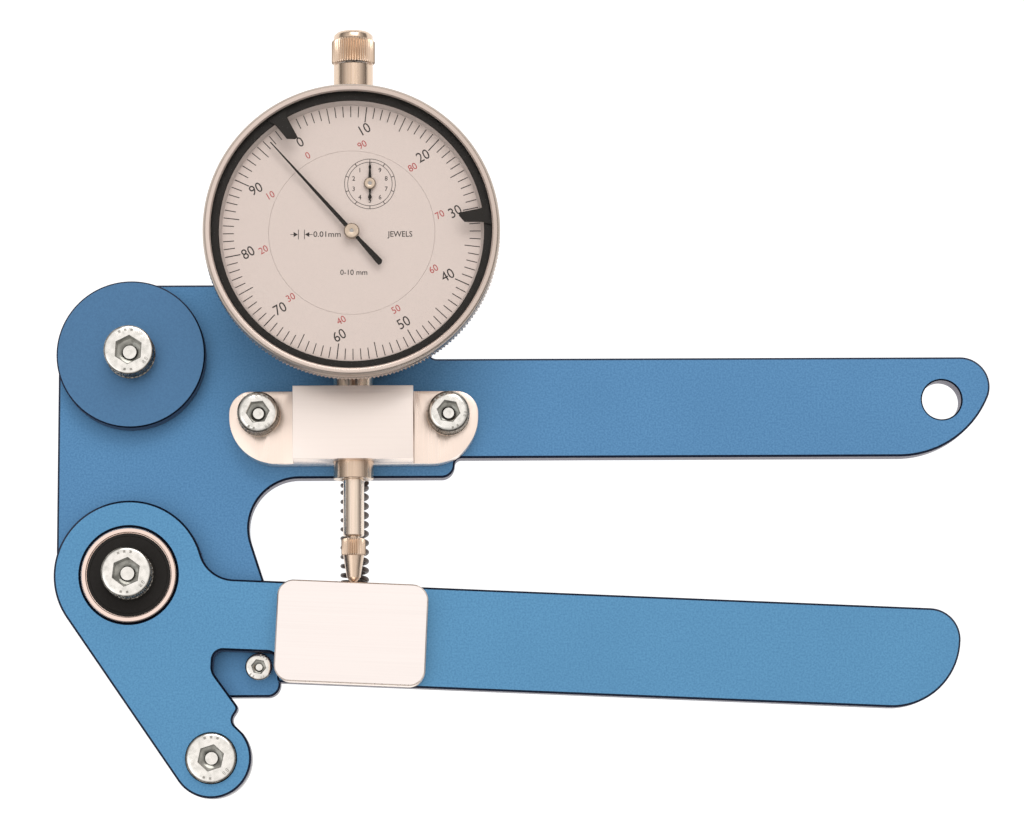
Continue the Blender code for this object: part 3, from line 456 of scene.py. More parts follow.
def combine(piece, other, operation):
    """A Boolean with another piece, which is used up."""
    modifier = piece.modifiers.new(operation, "BOOLEAN")
    modifier.operation = operation
    modifier.solver = "EXACT"
    modifier.object = other
    bake(piece)
    bpy.data.objects.remove(other)
    return piece


def merged(name, pieces):
    """One piece from several, each with its own material."""
    for piece in pieces:
        piece.data.transform(piece.matrix_world)
        piece.matrix_world = UNPLACED
    shape = bmesh.new()
    looks = []
    for piece in pieces:
        start = len(shape.faces)
        shape.from_mesh(piece.data)
        shape.faces.ensure_lookup_table()
        own = list(piece.data.materials)
        for face in shape.faces[start:]:
            look = own[face.material_index]
            if look not in looks:
                looks.append(look)
            face.material_index = looks.index(look)
        bpy.data.objects.remove(piece)
    return piece_from(name, shape, looks)


def arc(centre, radius, start, end, step=3.0):
    count = max(2, math.ceil(abs(end - start) / step))
    return [around(centre, radius, start + (end - start) * i / count) for i in range(count + 1)]


def around(centre, radius, degrees):
    """The point on a circle at an angle."""
    angle = math.radians(degrees)
    return (centre[0] + radius * math.cos(angle), centre[1] + radius * math.sin(angle))


def circle(centre, radius, count=72):
    return arc(centre, radius, 0.0, 360.0, 360.0 / count)[:-1]


def rounded(corners, step=5.0):
    """A closed outline: each corner (x, y, radius) is rounded by an arc tangent to both sides."""
    outline = []
    for i, (x, y, radius) in enumerate(corners):
        if radius == 0.0:
            outline.append((x, y))
            continue
        here = Vector((x, y))
        back = (Vector(corners[i - 1][:2]) - here).normalized()
        ahead = (Vector(corners[(i + 1) % len(corners)][:2]) - here).normalized()
        half = back.angle(ahead) / 2
        centre = here + (back + ahead).normalized() * radius / math.sin(half)
        first = here + back * radius / math.tan(half) - centre
        last = here + ahead * radius / math.tan(half) - centre
        start = math.degrees(math.atan2(first.y, first.x))
        turn = math.degrees(math.atan2(first.x * last.y - first.y * last.x, first.dot(last)))
        outline += arc(centre, radius, start, start + turn, step)
    return outline


def plain(points):
    return [(x, y, 0.0) for x, y in points]


def inset(points, distance):
    """A counter-clockwise outline moved inwards by distance."""
    moved = []
    for i, point in enumerate(points):
        here = Vector(point)
        before = (here - Vector(points[i - 1])).normalized()
        after = (Vector(points[(i + 1) % len(points)]) - here).normalized()
        side = Vector((-before.y - after.y, before.x + after.x))
        moved.append(here + side * distance / (1.0 + before.dot(after)))
    return [(p.x, p.y) for p in moved]


def plate(name, outline, back, front, looks, holes=(), edge=EDGE, hole_edge=None):
    """A flat piece with chamfered edges. looks are for the faces, the chamfers and the sides."""
    hole_edge = edge if hole_edge is None else hole_edge
    loops = [(outline, edge)] + [(hole, -hole_edge) for hole in holes]
    shape = bmesh.new()
    fronts, backs = [], []
    for points, cut in loops:
        small = inset(points, cut)
        size = abs(cut)
        rows = [
            [shape.verts.new((x * MM, y * MM, z * MM)) for x, y in ring]
            for ring, z in ((small, front), (points, front - size), (points, back + size), (small, back))
        ]
        fronts.append(rows[0])
        backs.append(rows[-1])
        for band, (upper, lower) in enumerate(zip(rows, rows[1:])):
            for i in range(len(upper)):
                j = (i + 1) % len(upper)
                corners = [upper[i], lower[i], lower[j], upper[j]]
                face = shape.faces.new(corners if cut > 0 else corners[::-1])
                face.material_index = 2 if band == 1 else 1
    for rings, up in ((fronts, 1.0), (backs, -1.0)):
        every = [vert for ring in rings for vert in ring]
        for a, b, c in tessellate_polygon([[vert.co for vert in ring] for ring in rings]):
            corners = [every[a], every[b], every[c]]
            across = (corners[1].co - corners[0].co).cross(corners[2].co - corners[0].co)
            if across.length < 1e-14:
                continue
            face = shape.faces.new(corners if across.z * up > 0 else corners[::-1])
            face.material_index = 0
    return smooth(piece_from(name, shape, looks))


def lathe(name, rows, looks, steps=96, closed=False, sharp=28.0, bands=None):
    """A turned piece. Each row is (radius, height) or (radius, height, shape), from the top down its
    outer side, and shape(angle, height) scales the radius. bands gives the look's number for the
    faces below a row, where it isn't the first."""
    shape = bmesh.new()
    rings = []
    for radius, height, *form in rows:
        if radius == 0.0:
            rings.append([shape.verts.new((0.0, 0.0, height * MM))])
            continue
        ring = []
        for i in range(steps):
            angle = TURN * i / steps
            reach = radius * (form[0](angle, height) if form else 1.0) * MM
            ring.append(shape.verts.new((reach * math.cos(angle), reach * math.sin(angle), height * MM)))
        rings.append(ring)
    pairs = list(zip(rings, rings[1:]))
    if closed:
        pairs.append((rings[-1], rings[0]))
    for number, (upper, lower) in enumerate(pairs):
        for i in range(steps):
            j = (i + 1) % steps
            corners = []
            for ring, k in ((upper, i), (lower, i), (lower, j), (upper, j)):
                if ring[k % len(ring)] not in corners:
                    corners.append(ring[k % len(ring)])
            shape.faces.new(corners).material_index = bands.get(number, 0) if bands else 0
    return smooth(piece_from(name, shape, looks), sharp)


def rod(radius, low, high, looks, steps):
    """A plain rod, to cut a round hole with."""
    return lathe("rod", [(0.0, high), (radius, high), (radius, low), (0.0, low)], looks, steps)


def ring_rows(inner, outer, back, front, bevel=0.15):
    """The rows of a ring with bevelled edges, for a closed lathe."""
    return [
        (inner + bevel, front), (outer - bevel, front), (outer, front - bevel),
        (outer, back + bevel), (outer - bevel, back), (inner + bevel, back), (inner, back + bevel),
        (inner, front - bevel),
    ]


def six_sided(angle, _height):
    """Scales a hexagon's inner radius out to its flats and corners."""
    part = (angle + TURN / 12) % (TURN / 6) - TURN / 12
    return 1.0 / math.cos(part)


def ribs(count, depth):
    """Straight knurling."""

    def form(angle, _height):
        return 1.0 - depth * (0.5 + 0.5 * math.cos(count * angle)) ** 0.7

    return form


def diamonds(count, depth, pitch):
    """Diamond knurling: two sets of slanted ridges."""

    def form(angle, height):
        left = math.cos(count * angle + TURN * height / pitch)
        right = math.cos(count * angle - TURN * height / pitch)
        return 1.0 - depth * (0.5 - 0.25 * (left + right))

    return form


def wire(name, points, radius, look):
    """A round wire through the points, as a mesh with closed ends."""
    curve = bpy.data.curves.new(name, "CURVE")
    curve.dimensions = "3D"
    curve.bevel_depth = radius * MM
    curve.bevel_resolution = 3
    curve.use_fill_caps = True
    spline = curve.splines.new("POLY")
    spline.points.add(len(points) - 1)
    for point, place in zip(spline.points, points):
        point.co = (*(Vector(place) * MM), 1.0)
    return as_piece(name, add_object(name, curve), look)


def as_piece(name, curve_object, look):
    mesh = evaluated_mesh(curve_object)
    bpy.data.objects.remove(curve_object)
    shape = bmesh.new()
    shape.from_mesh(mesh)
    bmesh.ops.remove_doubles(shape, verts=shape.verts, dist=1e-7)
    for face in shape.faces:
        face.material_index = 0
    return smooth(piece_from(name, shape, [look]), 40.0)


def lettering(words, size, look, at, squeeze=1.0, weight=0.0):
    """Thin raised print, centred on at."""
    text = bpy.data.curves.new(words, "FONT")
    text.body = words
    text.size = size * MM
    text.align_x = "CENTER"
    text.align_y = "CENTER"
    text.extrude = 0.012 * MM
    text.offset = weight * MM
    text.resolution_u = 3
    piece = as_piece("print", add_object("print", text), look)
    narrow = Matrix.Diagonal((squeeze, 1.0, 1.0, 1.0))
    piece.matrix_world = Matrix.Translation(Vector((*at, 0.0)) * MM) @ narrow
    return piece


def slab(name, outline, back, front, look):
    """A thin flat piece with square edges."""
    shape = bmesh.new()
    rows = [[shape.verts.new((x * MM, y * MM, z * MM)) for x, y in outline] for z in (back, front)]
    shape.faces.new(rows[0][::-1])
    shape.faces.new(rows[1])
    for i in range(len(outline)):
        j = (i + 1) % len(outline)
        shape.faces.new((rows[0][i], rows[0][j], rows[1][j], rows[1][i]))
    return piece_from(name, shape, [look])


# Plates.


def body_outline():
    end = math.atan2(TIP_CENTRE[1] - SWEEP_CENTRE[1], TIP_CENTRE[0] - SWEEP_CENTRE[0])
    end = math.degrees(end)
    return rounded(
        [
            (BODY_LEFT, BODY_TOP, DISC_RADIUS), (BODY_LEFT, 1.5, 10.0), (8.0, -24.2, 6.0),
            (30.15, -24.2, 2.6), (30.15, -11.34, 6.0), (19.9, ROOF, 10.1), (65.35, ROOF, 2.7),
            (65.35, HANDLE_BOTTOM, 1.3),
            *plain(arc(SWEEP_CENTRE, SWEEP_RADIUS, -90.0, end)),
            *plain(arc(TIP_CENTRE, TIP_RADIUS, end + 4.0, 90.0)),
            (60.0, HANDLE_TOP, 1.8), (60.0, BODY_TOP, 3.0),
        ]
    )


def lever_outline():
    fillet_x = math.sqrt((EYE_RADIUS + FILLET) ** 2 - FILLET**2)
    fillet_angle = math.degrees(math.atan2(FILLET, fillet_x))
    apart = math.hypot(*CLAW)
    tangent = math.atan2(CLAW[1], CLAW[0]) - math.acos((EYE_RADIUS - CLAW_RADIUS) / apart)
    tangent = math.degrees(tangent)
    return rounded(
        [
            *plain(arc(PIVOT, EYE_RADIUS, fillet_angle, tangent + 360.0)),
            *plain(arc(CLAW, CLAW_RADIUS, tangent, 42.0)),
            (21.75, -28.3, 1.6), (23.3, -25.65, 1.2), (NOTCH_LEFT, -18.6, 3.0),
            (NOTCH_LEFT, NOTCH_TOP, 2.0), (NOTCH_RIGHT, NOTCH_TOP, 2.2),
            (NOTCH_RIGHT, -LEVER_WIDTH, 1.0), (LEVER_END, -LEVER_WIDTH, 14.0),
            (LEVER_END, 0.0, 6.2),
            *plain(arc((fillet_x, FILLET), FILLET, 270.0, 180.0 + fillet_angle)[:-1]),
        ]
    )


def show_plates():
    holes = [
        circle(HANG_HOLE, 4.0),
        circle(SUPPORT, M6_HOLE),
        circle(PIVOT, M6_HOLE),
        circle(STOP, 1.7, 36),
        *[circle(at, M5_HOLE, 48) for at in CLAMP_SCREWS],
    ]
    # The chamfers and side walls take painted shade and painted reflection instead of the anodised blue.
    looks = [BODY_BLUE, EDGE_PAINTED_SHADE, SIDE_SHADE_AND_REFLECTION]
    body = plate("body_plate_shown", body_outline(), -PLATE, 0.0, looks, holes, hole_edge=0.3)
    stand_for(put(body, GAUGE), "body_plate")

    low, high = heights("support_disc")
    looks = [DISC_BLUE, EDGE_PAINTED_SHADE, SIDE_SHADE_AND_REFLECTION]
    outline = circle(PIVOT, DISC_RADIUS, 144)
    holes = [circle(PIVOT, M6_HOLE)]
    disc = plate("support_disc_shown", outline, low, high, looks, holes, edge=0.3)
    stand_for(put(disc, GAUGE, (*SUPPORT, 0.0)), "support_disc")

    looks = [LEVER_BLUE, EDGE_PAINTED_SHADE, SIDE_SHADE_AND_REFLECTION]
    block_holes = [circle(at, M4_HOLE, 36) for at in BLOCK_SCREWS]
    holes = [circle(PIVOT, 9.62, 120), circle(CLAW, M6_HOLE), *block_holes]
    arm = plate("lever_arm_shown", lever_outline(), LEVER_BACK, LEVER_FRONT, looks, holes)
    pocket = rod(5.18, 2.7, 6.5, looks, 96)
    put(pocket, UNPLACED, (*CLAW, 0.0))
    combine(arm, pocket, "DIFFERENCE")
    arm.data.transform(LEVER)
    stand_for(smooth(arm), "lever_arm")


def block_outline(left, right, low, high, corner):
    places = [(left, high), (left, low), (right, low), (right, high)]
    return rounded([(x, y, corner) for x, y in places])


def show_blocks():
    outline = block_outline(*ANVIL, -LEVER_WIDTH, 0.0, 3.2)
    looks = [ALLOY, EAR, EAR]
    anvil = plate("anvil_block_shown", outline, ANVIL_BACK, ANVIL_FRONT, looks, edge=0.25)
    stand_for(put(anvil, LEVER), "anvil_block")

    outline = block_outline(33.0, 57.0, -19.5, -0.6, 1.5)
    holes = [circle(at, M4_HOLE, 36) for at in BLOCK_SCREWS]
    block = plate("spring_block_shown", outline, -4.6, 0.3, looks, holes, edge=0.3)
    bore = rod(1.7, -6.5, 1.0, looks, 36)
    put(bore, UNPLACED, (SPINDLE[0], 0.0, SPRING_LEVEL), UPWARDS)
    smooth(combine(block, bore, "DIFFERENCE"))
    stand_for(put(block, LEVER), "spring_block")


def show_clamp():
    """The ears and the raised saddle in one, with a small fillet where they meet."""
    low, high = 22.3, 37.0
    ear_front = 5.2
    saddle_front = 13.3
    middle = SPINDLE[0]
    half = 12.05
    blend = 0.25
    profile = [
        (middle - 30.0, 0.2), (middle + 30.0, 0.2), (middle + 30.0, ear_front),
        *arc((middle + half + blend, ear_front + blend), blend, 270.0, 180.0, 30.0),
        (middle + half, saddle_front), (middle - half, saddle_front),
        *arc((middle - half - blend, ear_front + blend), blend, 360.0, 270.0, 30.0),
        (middle - 30.0, ear_front),
    ]
    block = slab("clamp_block_shown", profile, -high, -low, EAR)
    block.data.transform(Matrix.Rotation(math.radians(90.0), 4, "X"))
    outline = rounded(
        [
            (middle - 25.1, high + 0.02, 4.5), (middle - 25.1, low - 0.02, 9.5),
            (middle + 25.1, low - 0.02, 9.5), (middle + 25.1, high + 0.02, 4.5),
        ],
        4.0,
    )
    combine(block, slab("ends", outline, -1.0, 15.0, EAR), "INTERSECT")
    for at in CLAMP_SCREWS:
        combine(block, slab("hole", circle(at, M5_HOLE, 48), -1.0, 8.0, EAR), "DIFFERENCE")
    bore = rod(4.06, 20.0, 40.0, [EAR], 96)
    put(bore, UNPLACED, SPINDLE, UPWARDS)
    combine(block, bore, "DIFFERENCE")
    edges = block.modifiers.new("edges", "BEVEL")
    edges.width = 0.14 * MM
    edges.segments = 2
    edges.limit_method = "ANGLE"
    edges.angle_limit = math.radians(50.0)
    smooth(bake(block), 35.0)
    block.data.materials.append(SADDLE)
    for face in block.data.polygons:
        if face.center.z > (saddle_front - 0.05) * MM:
            face.material_index = 1
    stand_for(put(block, GAUGE), "clamp_block")


# Fasteners. A screw's rows start with its socket, and its knurled rows follow its bevel.

M6 = {"head": 10.0, "height": 6.0, "key": 5.0, "thread": 6.0, "bevel": 0.5}
M6_LOW = {"head": 10.1, "height": 4.0, "key": 4.6, "thread": 6.0, "bevel": 0.6}
M5 = {"head": 8.5, "height": 5.0, "key": 4.0, "thread": 5.0, "bevel": 1.0}
M4 = {"head": 7.0, "height": 4.0, "key": 3.0, "thread": 4.0, "bevel": 0.5}
M3 = {"head": 5.5, "height": 3.0, "key": 2.5, "thread": 3.0, "bevel": 0.5}
SHORT_END = -4.8
NUT_FLATS = 9.95
GRIP_ROWS = 17
# Rows that take painted shade: the socket's walls get the socket shade, and the bevel and knurled side get
# the darker side shade.
HEAD_SHADE_BANDS = {1: 1, 2: 1, 3: 1, 4: 1, 8: 2, 9: 2}
GRIP_SHADE_BANDS = {number: 2 for number in range(10, 11 + GRIP_ROWS)}


def screw_rows(head, height, key, thread, bevel, seat, end, side=None):
    """A cap screw from the middle of its socket, over the head and down to the tip."""
    top = seat + height
    radius = head / 2
    deep = top - 0.55 * height
    side_rows = []
    for i in range(GRIP_ROWS if side else 0):
        fall = (height - bevel - 0.5) * i / (GRIP_ROWS - 1)
        side_rows.append((radius, top - bevel - 0.15 - fall, side))
    return [
        (0.0, deep - 0.25), (0.27 * key, deep - 0.25), (0.29 * key, deep - 0.15),
        (0.48 * key, deep + 0.12), (key / 2, deep + 0.12, six_sided),
        (key / 2, top - 0.1, six_sided), (key / 2 + 0.1, top, six_sided), (radius - bevel, top),
        (radius - 0.45 * bevel, top - 0.2 * bevel), (radius - 0.12 * bevel, top - 0.6 * bevel),
        (radius - 0.12 * bevel, top - bevel),
        *side_rows,
        (radius, seat + 0.2), (radius - 0.2, seat), (thread / 2, seat),
        *thread_rows(thread, seat, end),
        (0.0, end),
    ]


def thread_rows(thread, seat, end):
    """A short visible thread near the tip, as ridges, and a chamfered end."""
    pitch = 0.8
    rows = []
    start = end + pitch * 5
    if seat > start + 1.0:
        for i in range(10):
            rows.append((thread / 2 - (0.0 if i % 2 == 0 else 0.32), start - i * pitch / 2))
    rows.append((thread / 2 - 0.5, end))
    return rows


def head_marks(head, top):
    """Small raised marks round a screw head's rim: short bars and a strength number. Their dark grey is
    painted shade, so they read as stamped.
    """
    radius = 0.405 * head
    marks = []
    for start in (20.0, 38.0, 56.0, 200.0, 218.0):
        outline = arc(PIVOT, radius + 0.24, start, start + 7.0)
        outline += arc(PIVOT, radius - 0.24, start + 7.0, start)
        marks.append(slab("mark", outline, top - 0.1, top + 0.03, MARK_SHADE))
    number = lettering("8.8", 0.115 * head, MARK_SHADE, (0.0, -radius))
    number.data.transform(Matrix.Diagonal((1.0, 1.0, 3.0, 1.0)))
    number.matrix_world = Matrix.Translation((0.0, 0.0, top * MM)) @ number.matrix_world
    return [*marks, number]


def show_screw(node, base, at, size, seat, end, turn, knurl=True):
    """A cap screw of a size, with its head's underside at seat and its tip at end."""
    head = size["head"]
    side = diamonds(int(head * 3.4), 0.09, 1.1) if knurl else None
    rows = screw_rows(**size, seat=seat, end=end, side=side)
    bands = {**HEAD_SHADE_BANDS, **(GRIP_SHADE_BANDS if knurl else {})}
    screw = lathe(node + "_turned", rows, [ZINC, ZINC_SOCKET_SHADE, ZINC_SIDE_SHADE], 216, sharp=32.0, bands=bands)
    screw = merged(node + "_shown", [screw, *head_marks(head, seat + size["height"])])
    smooth(screw, 32.0)
    stand_for(put(screw, base, (*at, 0.0), (0.0, 0.0, turn)), node)


def nut_rows(front, back):
    slope = 0.55
    flat = NUT_FLATS / 2
    crown = flat * 1.03
    return [
        (3.05, front), (crown, front), (flat, front - slope, six_sided),
        (flat, back + slope, six_sided), (crown, back), (3.3, back), (3.05, back + 0.3),
    ]


def show_fasteners():
    tip = level(0.0)
    show_screw("support_screw", GAUGE, SUPPORT, M6, seat=4.9, end=tip, turn=57.0)
    show_screw("pivot_screw", GAUGE, PIVOT, M6, seat=6.1, end=tip, turn=53.0)
    show_screw("claw_screw", LEVER, CLAW, M6_LOW, seat=2.8, end=tip, turn=50.0, knurl=False)
    show_screw("stop_screw", GAUGE, STOP, M3, seat=0.1, end=SHORT_END, turn=20.0, knurl=False)
    for node, at, turn in zip(("clamp_screw_left", "clamp_screw_right"), CLAMP_SCREWS, (35.0, 80.0)):
        show_screw(node, GAUGE, at, M5, seat=5.3, end=SHORT_END, turn=turn)
    for node, at in zip(("anvil_screw_left", "anvil_screw_right"), BLOCK_SCREWS):
        rows = screw_rows(**M4, seat=4.7, end=-8.7)
        screw = lathe(node + "_shown", rows, [ZINC], 96, sharp=32.0)
        stand_for(put(screw, LEVER, (*at, 0.0), (180.0, 0.0, 0.0)), node)
    back, front = heights("support_nut")
    for prefix, base, at in STUDS:
        nut = lathe(prefix + "_nut_shown", nut_rows(front, back), [NUT_ZINC], 96, True, 24.0)
        stand_for(put(nut, base, (*at, 0.0)), prefix + "_nut")


# Bearing and rollers.


def show_bearing():
    low, high = 0.1, 6.0
    track, inside, outside = 7.95, 8.5, 9.5
    outer = [
        (inside, high - 0.12), (inside + 0.12, high), (outside - 0.2, high), (outside, high - 0.2),
        (outside, low + 0.2), (outside - 0.2, low), (inside + 0.12, low), (inside, low + 0.12),
        (inside, low + 0.7), (track, low + 0.7), (track, high - 0.7), (inside, high - 0.7),
    ]
    piece = lathe("bearing_outer_ring_shown", outer, [BEARING], 144, True)
    stand_for(put(piece, LEVER), "bearing_outer_ring")
    piece = lathe("bearing_inner_ring_shown", ring_rows(3.1, 4.65, low, high, 0.2), [BEARING], 96, True)
    stand_for(put(piece, GAUGE), "bearing_inner_ring")
    for node, back, sign in (("bearing_seal_front", 5.5, 1.0), ("bearing_seal_rear", 0.2, -1.0)):
        hidden, shown = (back, back + 0.4)[:: int(sign)]
        rows = [
            (4.85, shown - sign * 0.08), (5.5, shown), (5.6, shown - sign * 0.07),
            (7.7, shown - sign * 0.07), (7.8, shown), (8.35, shown - sign * 0.05),
            (8.35, hidden), (4.85, hidden),
        ]
        if sign < 0:
            rows.reverse()
        piece = lathe(node + "_shown", rows, [SEAL], 120, True)
        stand_for(put(piece, LEVER), node)


def show_rollers():
    back, front = heights("support_roller")
    middle = (back + front) / 2
    bore, rim = 4.1, 6.98
    for prefix, base, at in STUDS:
        groove = []
        for degrees in range(80, -81, -16):
            a = math.radians(degrees)
            groove.append((5.2 + 0.9 * (1.0 - math.cos(a)), middle + 1.5 * math.sin(a)))
        rows = [
            (bore + 0.15, front), (rim - 0.28, front), (rim, front - 0.28), (rim, middle + 2.0),
            (rim - 0.18, middle + 1.8),
            *groove,
            (rim - 0.18, middle - 1.8), (rim, middle - 2.0), (rim, back + 0.28), (rim - 0.28, back),
            (bore + 0.15, back), (bore, back + 0.15), (bore, front - 0.15),
        ]
        roller = lathe(prefix + "_roller_shown", rows, [TURNED], 96, True)
        stand_for(put(roller, base, (*at, 0.0)), prefix + "_roller")
        low, high = heights(prefix + "_bush")
        bush = lathe(prefix + "_bush_shown", ring_rows(3.1, 4.0, low, high), [TURNED], 72, True)
        stand_for(put(bush, base, (*at, 0.0)), prefix + "_bush")
    spacer = lathe("claw_spacer_shown", ring_rows(3.2, 7.8, -5.0, 0.3, 0.3), [TURNED], 96, True)
    spacer.data.transform(LEVER @ Matrix.Translation(Vector((*CLAW, 0.0)) * MM))
    stand_for(spacer, "claw_spacer")


# Indicator.


def along_spindle(name, rows, steps=96, closed=True, sharp=28.0, look=NICKEL):
    piece = lathe(name, rows, [look], steps, closed, sharp)
    return put(piece, GAUGE, SPINDLE, UPWARDS)


def show_spindle():
    stem = ring_rows(STEM_BORE, STEM_RADIUS, 18.8, 41.1, 0.12)
    stand_for(along_spindle("stem_shown", stem), "stem")
    low, high = 91.3, 103.6
    collar = [
        (STEM_BORE, high), (STEM_RADIUS - 0.1, high), (STEM_RADIUS, high - 0.1), (STEM_RADIUS, low),
        (STEM_BORE, low),
    ]
    stand_for(along_spindle("upper_collar_shown", collar), "upper_collar")

    grip = ribs(48, 0.1)
    cap = [
        (0.0, 110.5), (3.4, 110.42), (3.9, 109.95), (3.98, 109.8), (3.98, 108.95), (4.1, 108.85),
        (4.4, 108.6, grip), (4.4, 104.35, grip), (4.1, 104.0), (2.6, 103.95),
        (STEM_BORE, 104.1), (STEM_BORE, 107.8), (0.0, 107.8),
    ]
    stand_for(along_spindle("end_cap_shown", cap, 480, False, 40.0), "end_cap")

    rod = [
        (0.0, 95.0), (1.9, 95.0), (2.1, 94.8), (2.1, 7.6), (1.85, 7.3), (1.4, 7.3), (1.4, 12.0),
        (0.0, 12.0),
    ]
    stand_for(along_spindle("plunger_shown", rod, 72, False, look=PLUNGER_METAL), "plunger")

    grip = ribs(32, 0.12)
    ball = arc((0.0, -0.58), 1.3, -12.0, -77.0, 13.0)
    tip = [
        (0.0, 11.9), (1.2, 11.9), (1.2, 7.0), (1.5, 6.95), (1.5, 6.9), (2.2, 6.88),
        (2.46, 6.6, grip), (2.46, 3.75, grip), (2.2, 3.5), (2.08, 3.42), (1.36, -0.95),
        *ball,
        (0.0, -1.88),
    ]
    stand_for(along_spindle("contact_point_shown", tip, 320, False, 40.0), "contact_point")


def coil(radius, low, high, turns, per_turn, dead):
    """A helix about Y whose first and last turns lie close together."""
    points = []
    count = int(turns * per_turn)
    for i in range(count + 1):
        share = i / count
        turn_at = turns * share
        body = min(max(turn_at - dead, 0.0), turns - 2 * dead) / (turns - 2 * dead)
        ends = min(turn_at, dead) / dead + max(turn_at - turns + dead, 0.0) / dead
        rise = (high - low) * (0.9 * body + 0.05 * ends)
        angle = TURN * i / per_turn
        points.append((radius * math.cos(angle), low + rise, radius * math.sin(angle)))
    return points


def show_springs():
    points = coil(radius=2.45, low=-1.5, high=SPRING_TOP, turns=12.0, per_turn=40, dead=1.0)
    spring = wire("handle_spring_shown", points, 0.475, SPRING)
    stand_for(put(spring, GAUGE, (SPINDLE[0], 0.0, SPRING_LEVEL)), "handle_spring")
    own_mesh(spring)


def on_dial(piece, height=0.0, turn=0.0):
    """Puts a piece on the dial's axis."""
    return put(piece, GAUGE, (*DIAL, height), (0.0, 0.0, turn))


def show_case():
    low, top = heights("dial_case")
    inside, outside, groove = 24.45, 26.4, 11.8
    shell = [
        (inside, top - 0.05), (outside - 0.2, top - 0.05), (outside, top - 0.25),
        (outside, groove + 0.2), (outside - 0.15, groove), (outside, groove - 0.2),
        (outside, low + 0.5), (outside - 0.4, low), (inside, low),
    ]
    case = lathe("dial_case_shown", shell, [CASE], 192, True)
    bore = rod(4.05, 30.0, 100.0, [CASE], 72)
    put(bore, UNPLACED, (0.0, -DIAL[1], SPINDLE[2]), UPWARDS)
    smooth(combine(case, bore, "DIFFERENCE"))
    stand_for(on_dial(case), "dial_case")

    cover = [
        (0.0, 2.0), (26.0, 2.0), (26.0, 1.0), (25.5, 0.5), (23.9, 0.5), (23.7, 0.75), (23.1, 0.75),
        (22.9, 0.55), (0.0, 0.55),
    ]
    piece = lathe("case_cover_shown", cover, [CASE], 192)
    stand_for(on_dial(piece), "case_cover")
    for i, angle in enumerate((45.0, 135.0, 225.0, 315.0)):
        head = [(0.0, 0.62), (1.15, 0.62), (1.15, 0.52), (0.95, 0.4), (0.0, 0.36)]
        screw = lathe("cover_screw", head, [ZINC], 48)
        slot = slab("slot", [(-1.4, -0.16), (1.4, -0.16), (1.4, 0.16), (-1.4, 0.16)], 0.2, 0.52, ZINC)
        combine(screw, slot, "DIFFERENCE")
        screw.name = f"cover_screw_{i + 1}"
        at = (*around(DIAL, 21.2, angle), 0.12)
        ride_with(put(smooth(screw), GAUGE, at, (0.0, 0.0, 30.0 * i)), "case_cover")


def show_bezel():
    grip = ribs(228, 0.009)
    back, front = heights("bezel")
    low, high = heights("crystal")
    seat = high + 0.08
    window, wall, rim, lip, pocket = 27.8, 29.28, 29.49, 26.62, 28.75
    rows = [
        (window, seat), (27.81, front - 0.35), (28.07, front - 0.04), (28.23, front),
        (28.77, front), (28.81, front - 0.06), (28.89, front - 0.06), (29.05, front - 0.2),
        (29.27, front - 0.5), (29.39, front - 0.85), (29.41, front - 1.15), (wall, front - 1.25),
        (wall, back + 2.15), (29.32, back + 2.1), (rim, back + 1.8, grip), (rim, back + 0.35, grip),
        (29.2, back), (lip, back), (lip, back + 0.5), (pocket, back + 0.5), (pocket, seat),
    ]
    # The bezel's shoulder and upper wall take the darker copies: painted shade.
    bands = {number: 2 if number < 10 else 1 for number in range(5, 13)}
    bezel = lathe("bezel_shown", rows, [CASE, CASE_WALL_SHADE, CASE_SHOULDER_SHADE], 1368, True, bands=bands)
    stand_for(on_dial(bezel), "bezel")

    rows = [(0.0, high), (28.2, high), (28.4, high - 0.15), (28.4, low), (0.0, low)]
    crystal = lathe("crystal_shown", rows, [GLASS], 144)
    stand_for(on_dial(crystal), "crystal")
    low, high = heights("limit_ring")
    rows = [
        (26.31, high), (RING_OUTER, high), (RING_OUTER, low), (25.75, low), (26.2, high - 0.3),
        (26.25, high - 0.06),
    ]
    # The ring's underside and sloped inner wall take the painted shade.
    ring = lathe("limit_ring_shown", rows, [BLACK, CARD_WALL_SHADE], 192, True, bands={2: 1, 3: 1})
    stand_for(on_dial(ring), "limit_ring")


def show_markers():
    low, high = heights("limit_marker_low")
    for node, angle, side in (("limit_marker_low", 122.4, 1.0), ("limit_marker_high", 6.4, -1.0)):
        tab = [
            (26.5, 1.75), (26.15, 1.47), (25.7, 1.36), (22.4, 0.98), (21.46, -0.36), (21.5, -1.02),
            (25.7, -1.36), (26.15, -1.47), (26.5, -1.75),
        ]
        tab = [*arc(PIVOT, 27.7, -4.5, 4.5), *[(x, y * side) for x, y in tab[:: int(side)]]]
        marker = plate(node + "_shown", tab, low, high, [BLACK] * 3, edge=0.05)
        stand_for(on_dial(marker, 0.0, angle), node)


def oblong(left, right, low, high):
    outline = [(left, low), (right, low), (right, high), (left, high)]
    return slab("line", outline, 0.0, PRINT, INK)


def tick(angle, inner, outer, width, centre=PIVOT):
    """A printed line along a radius of a circle round centre."""
    line = oblong(inner, outer, -width / 2, width / 2)
    return put(line, UNPLACED, (*centre, 0.0), (0.0, 0.0, angle))


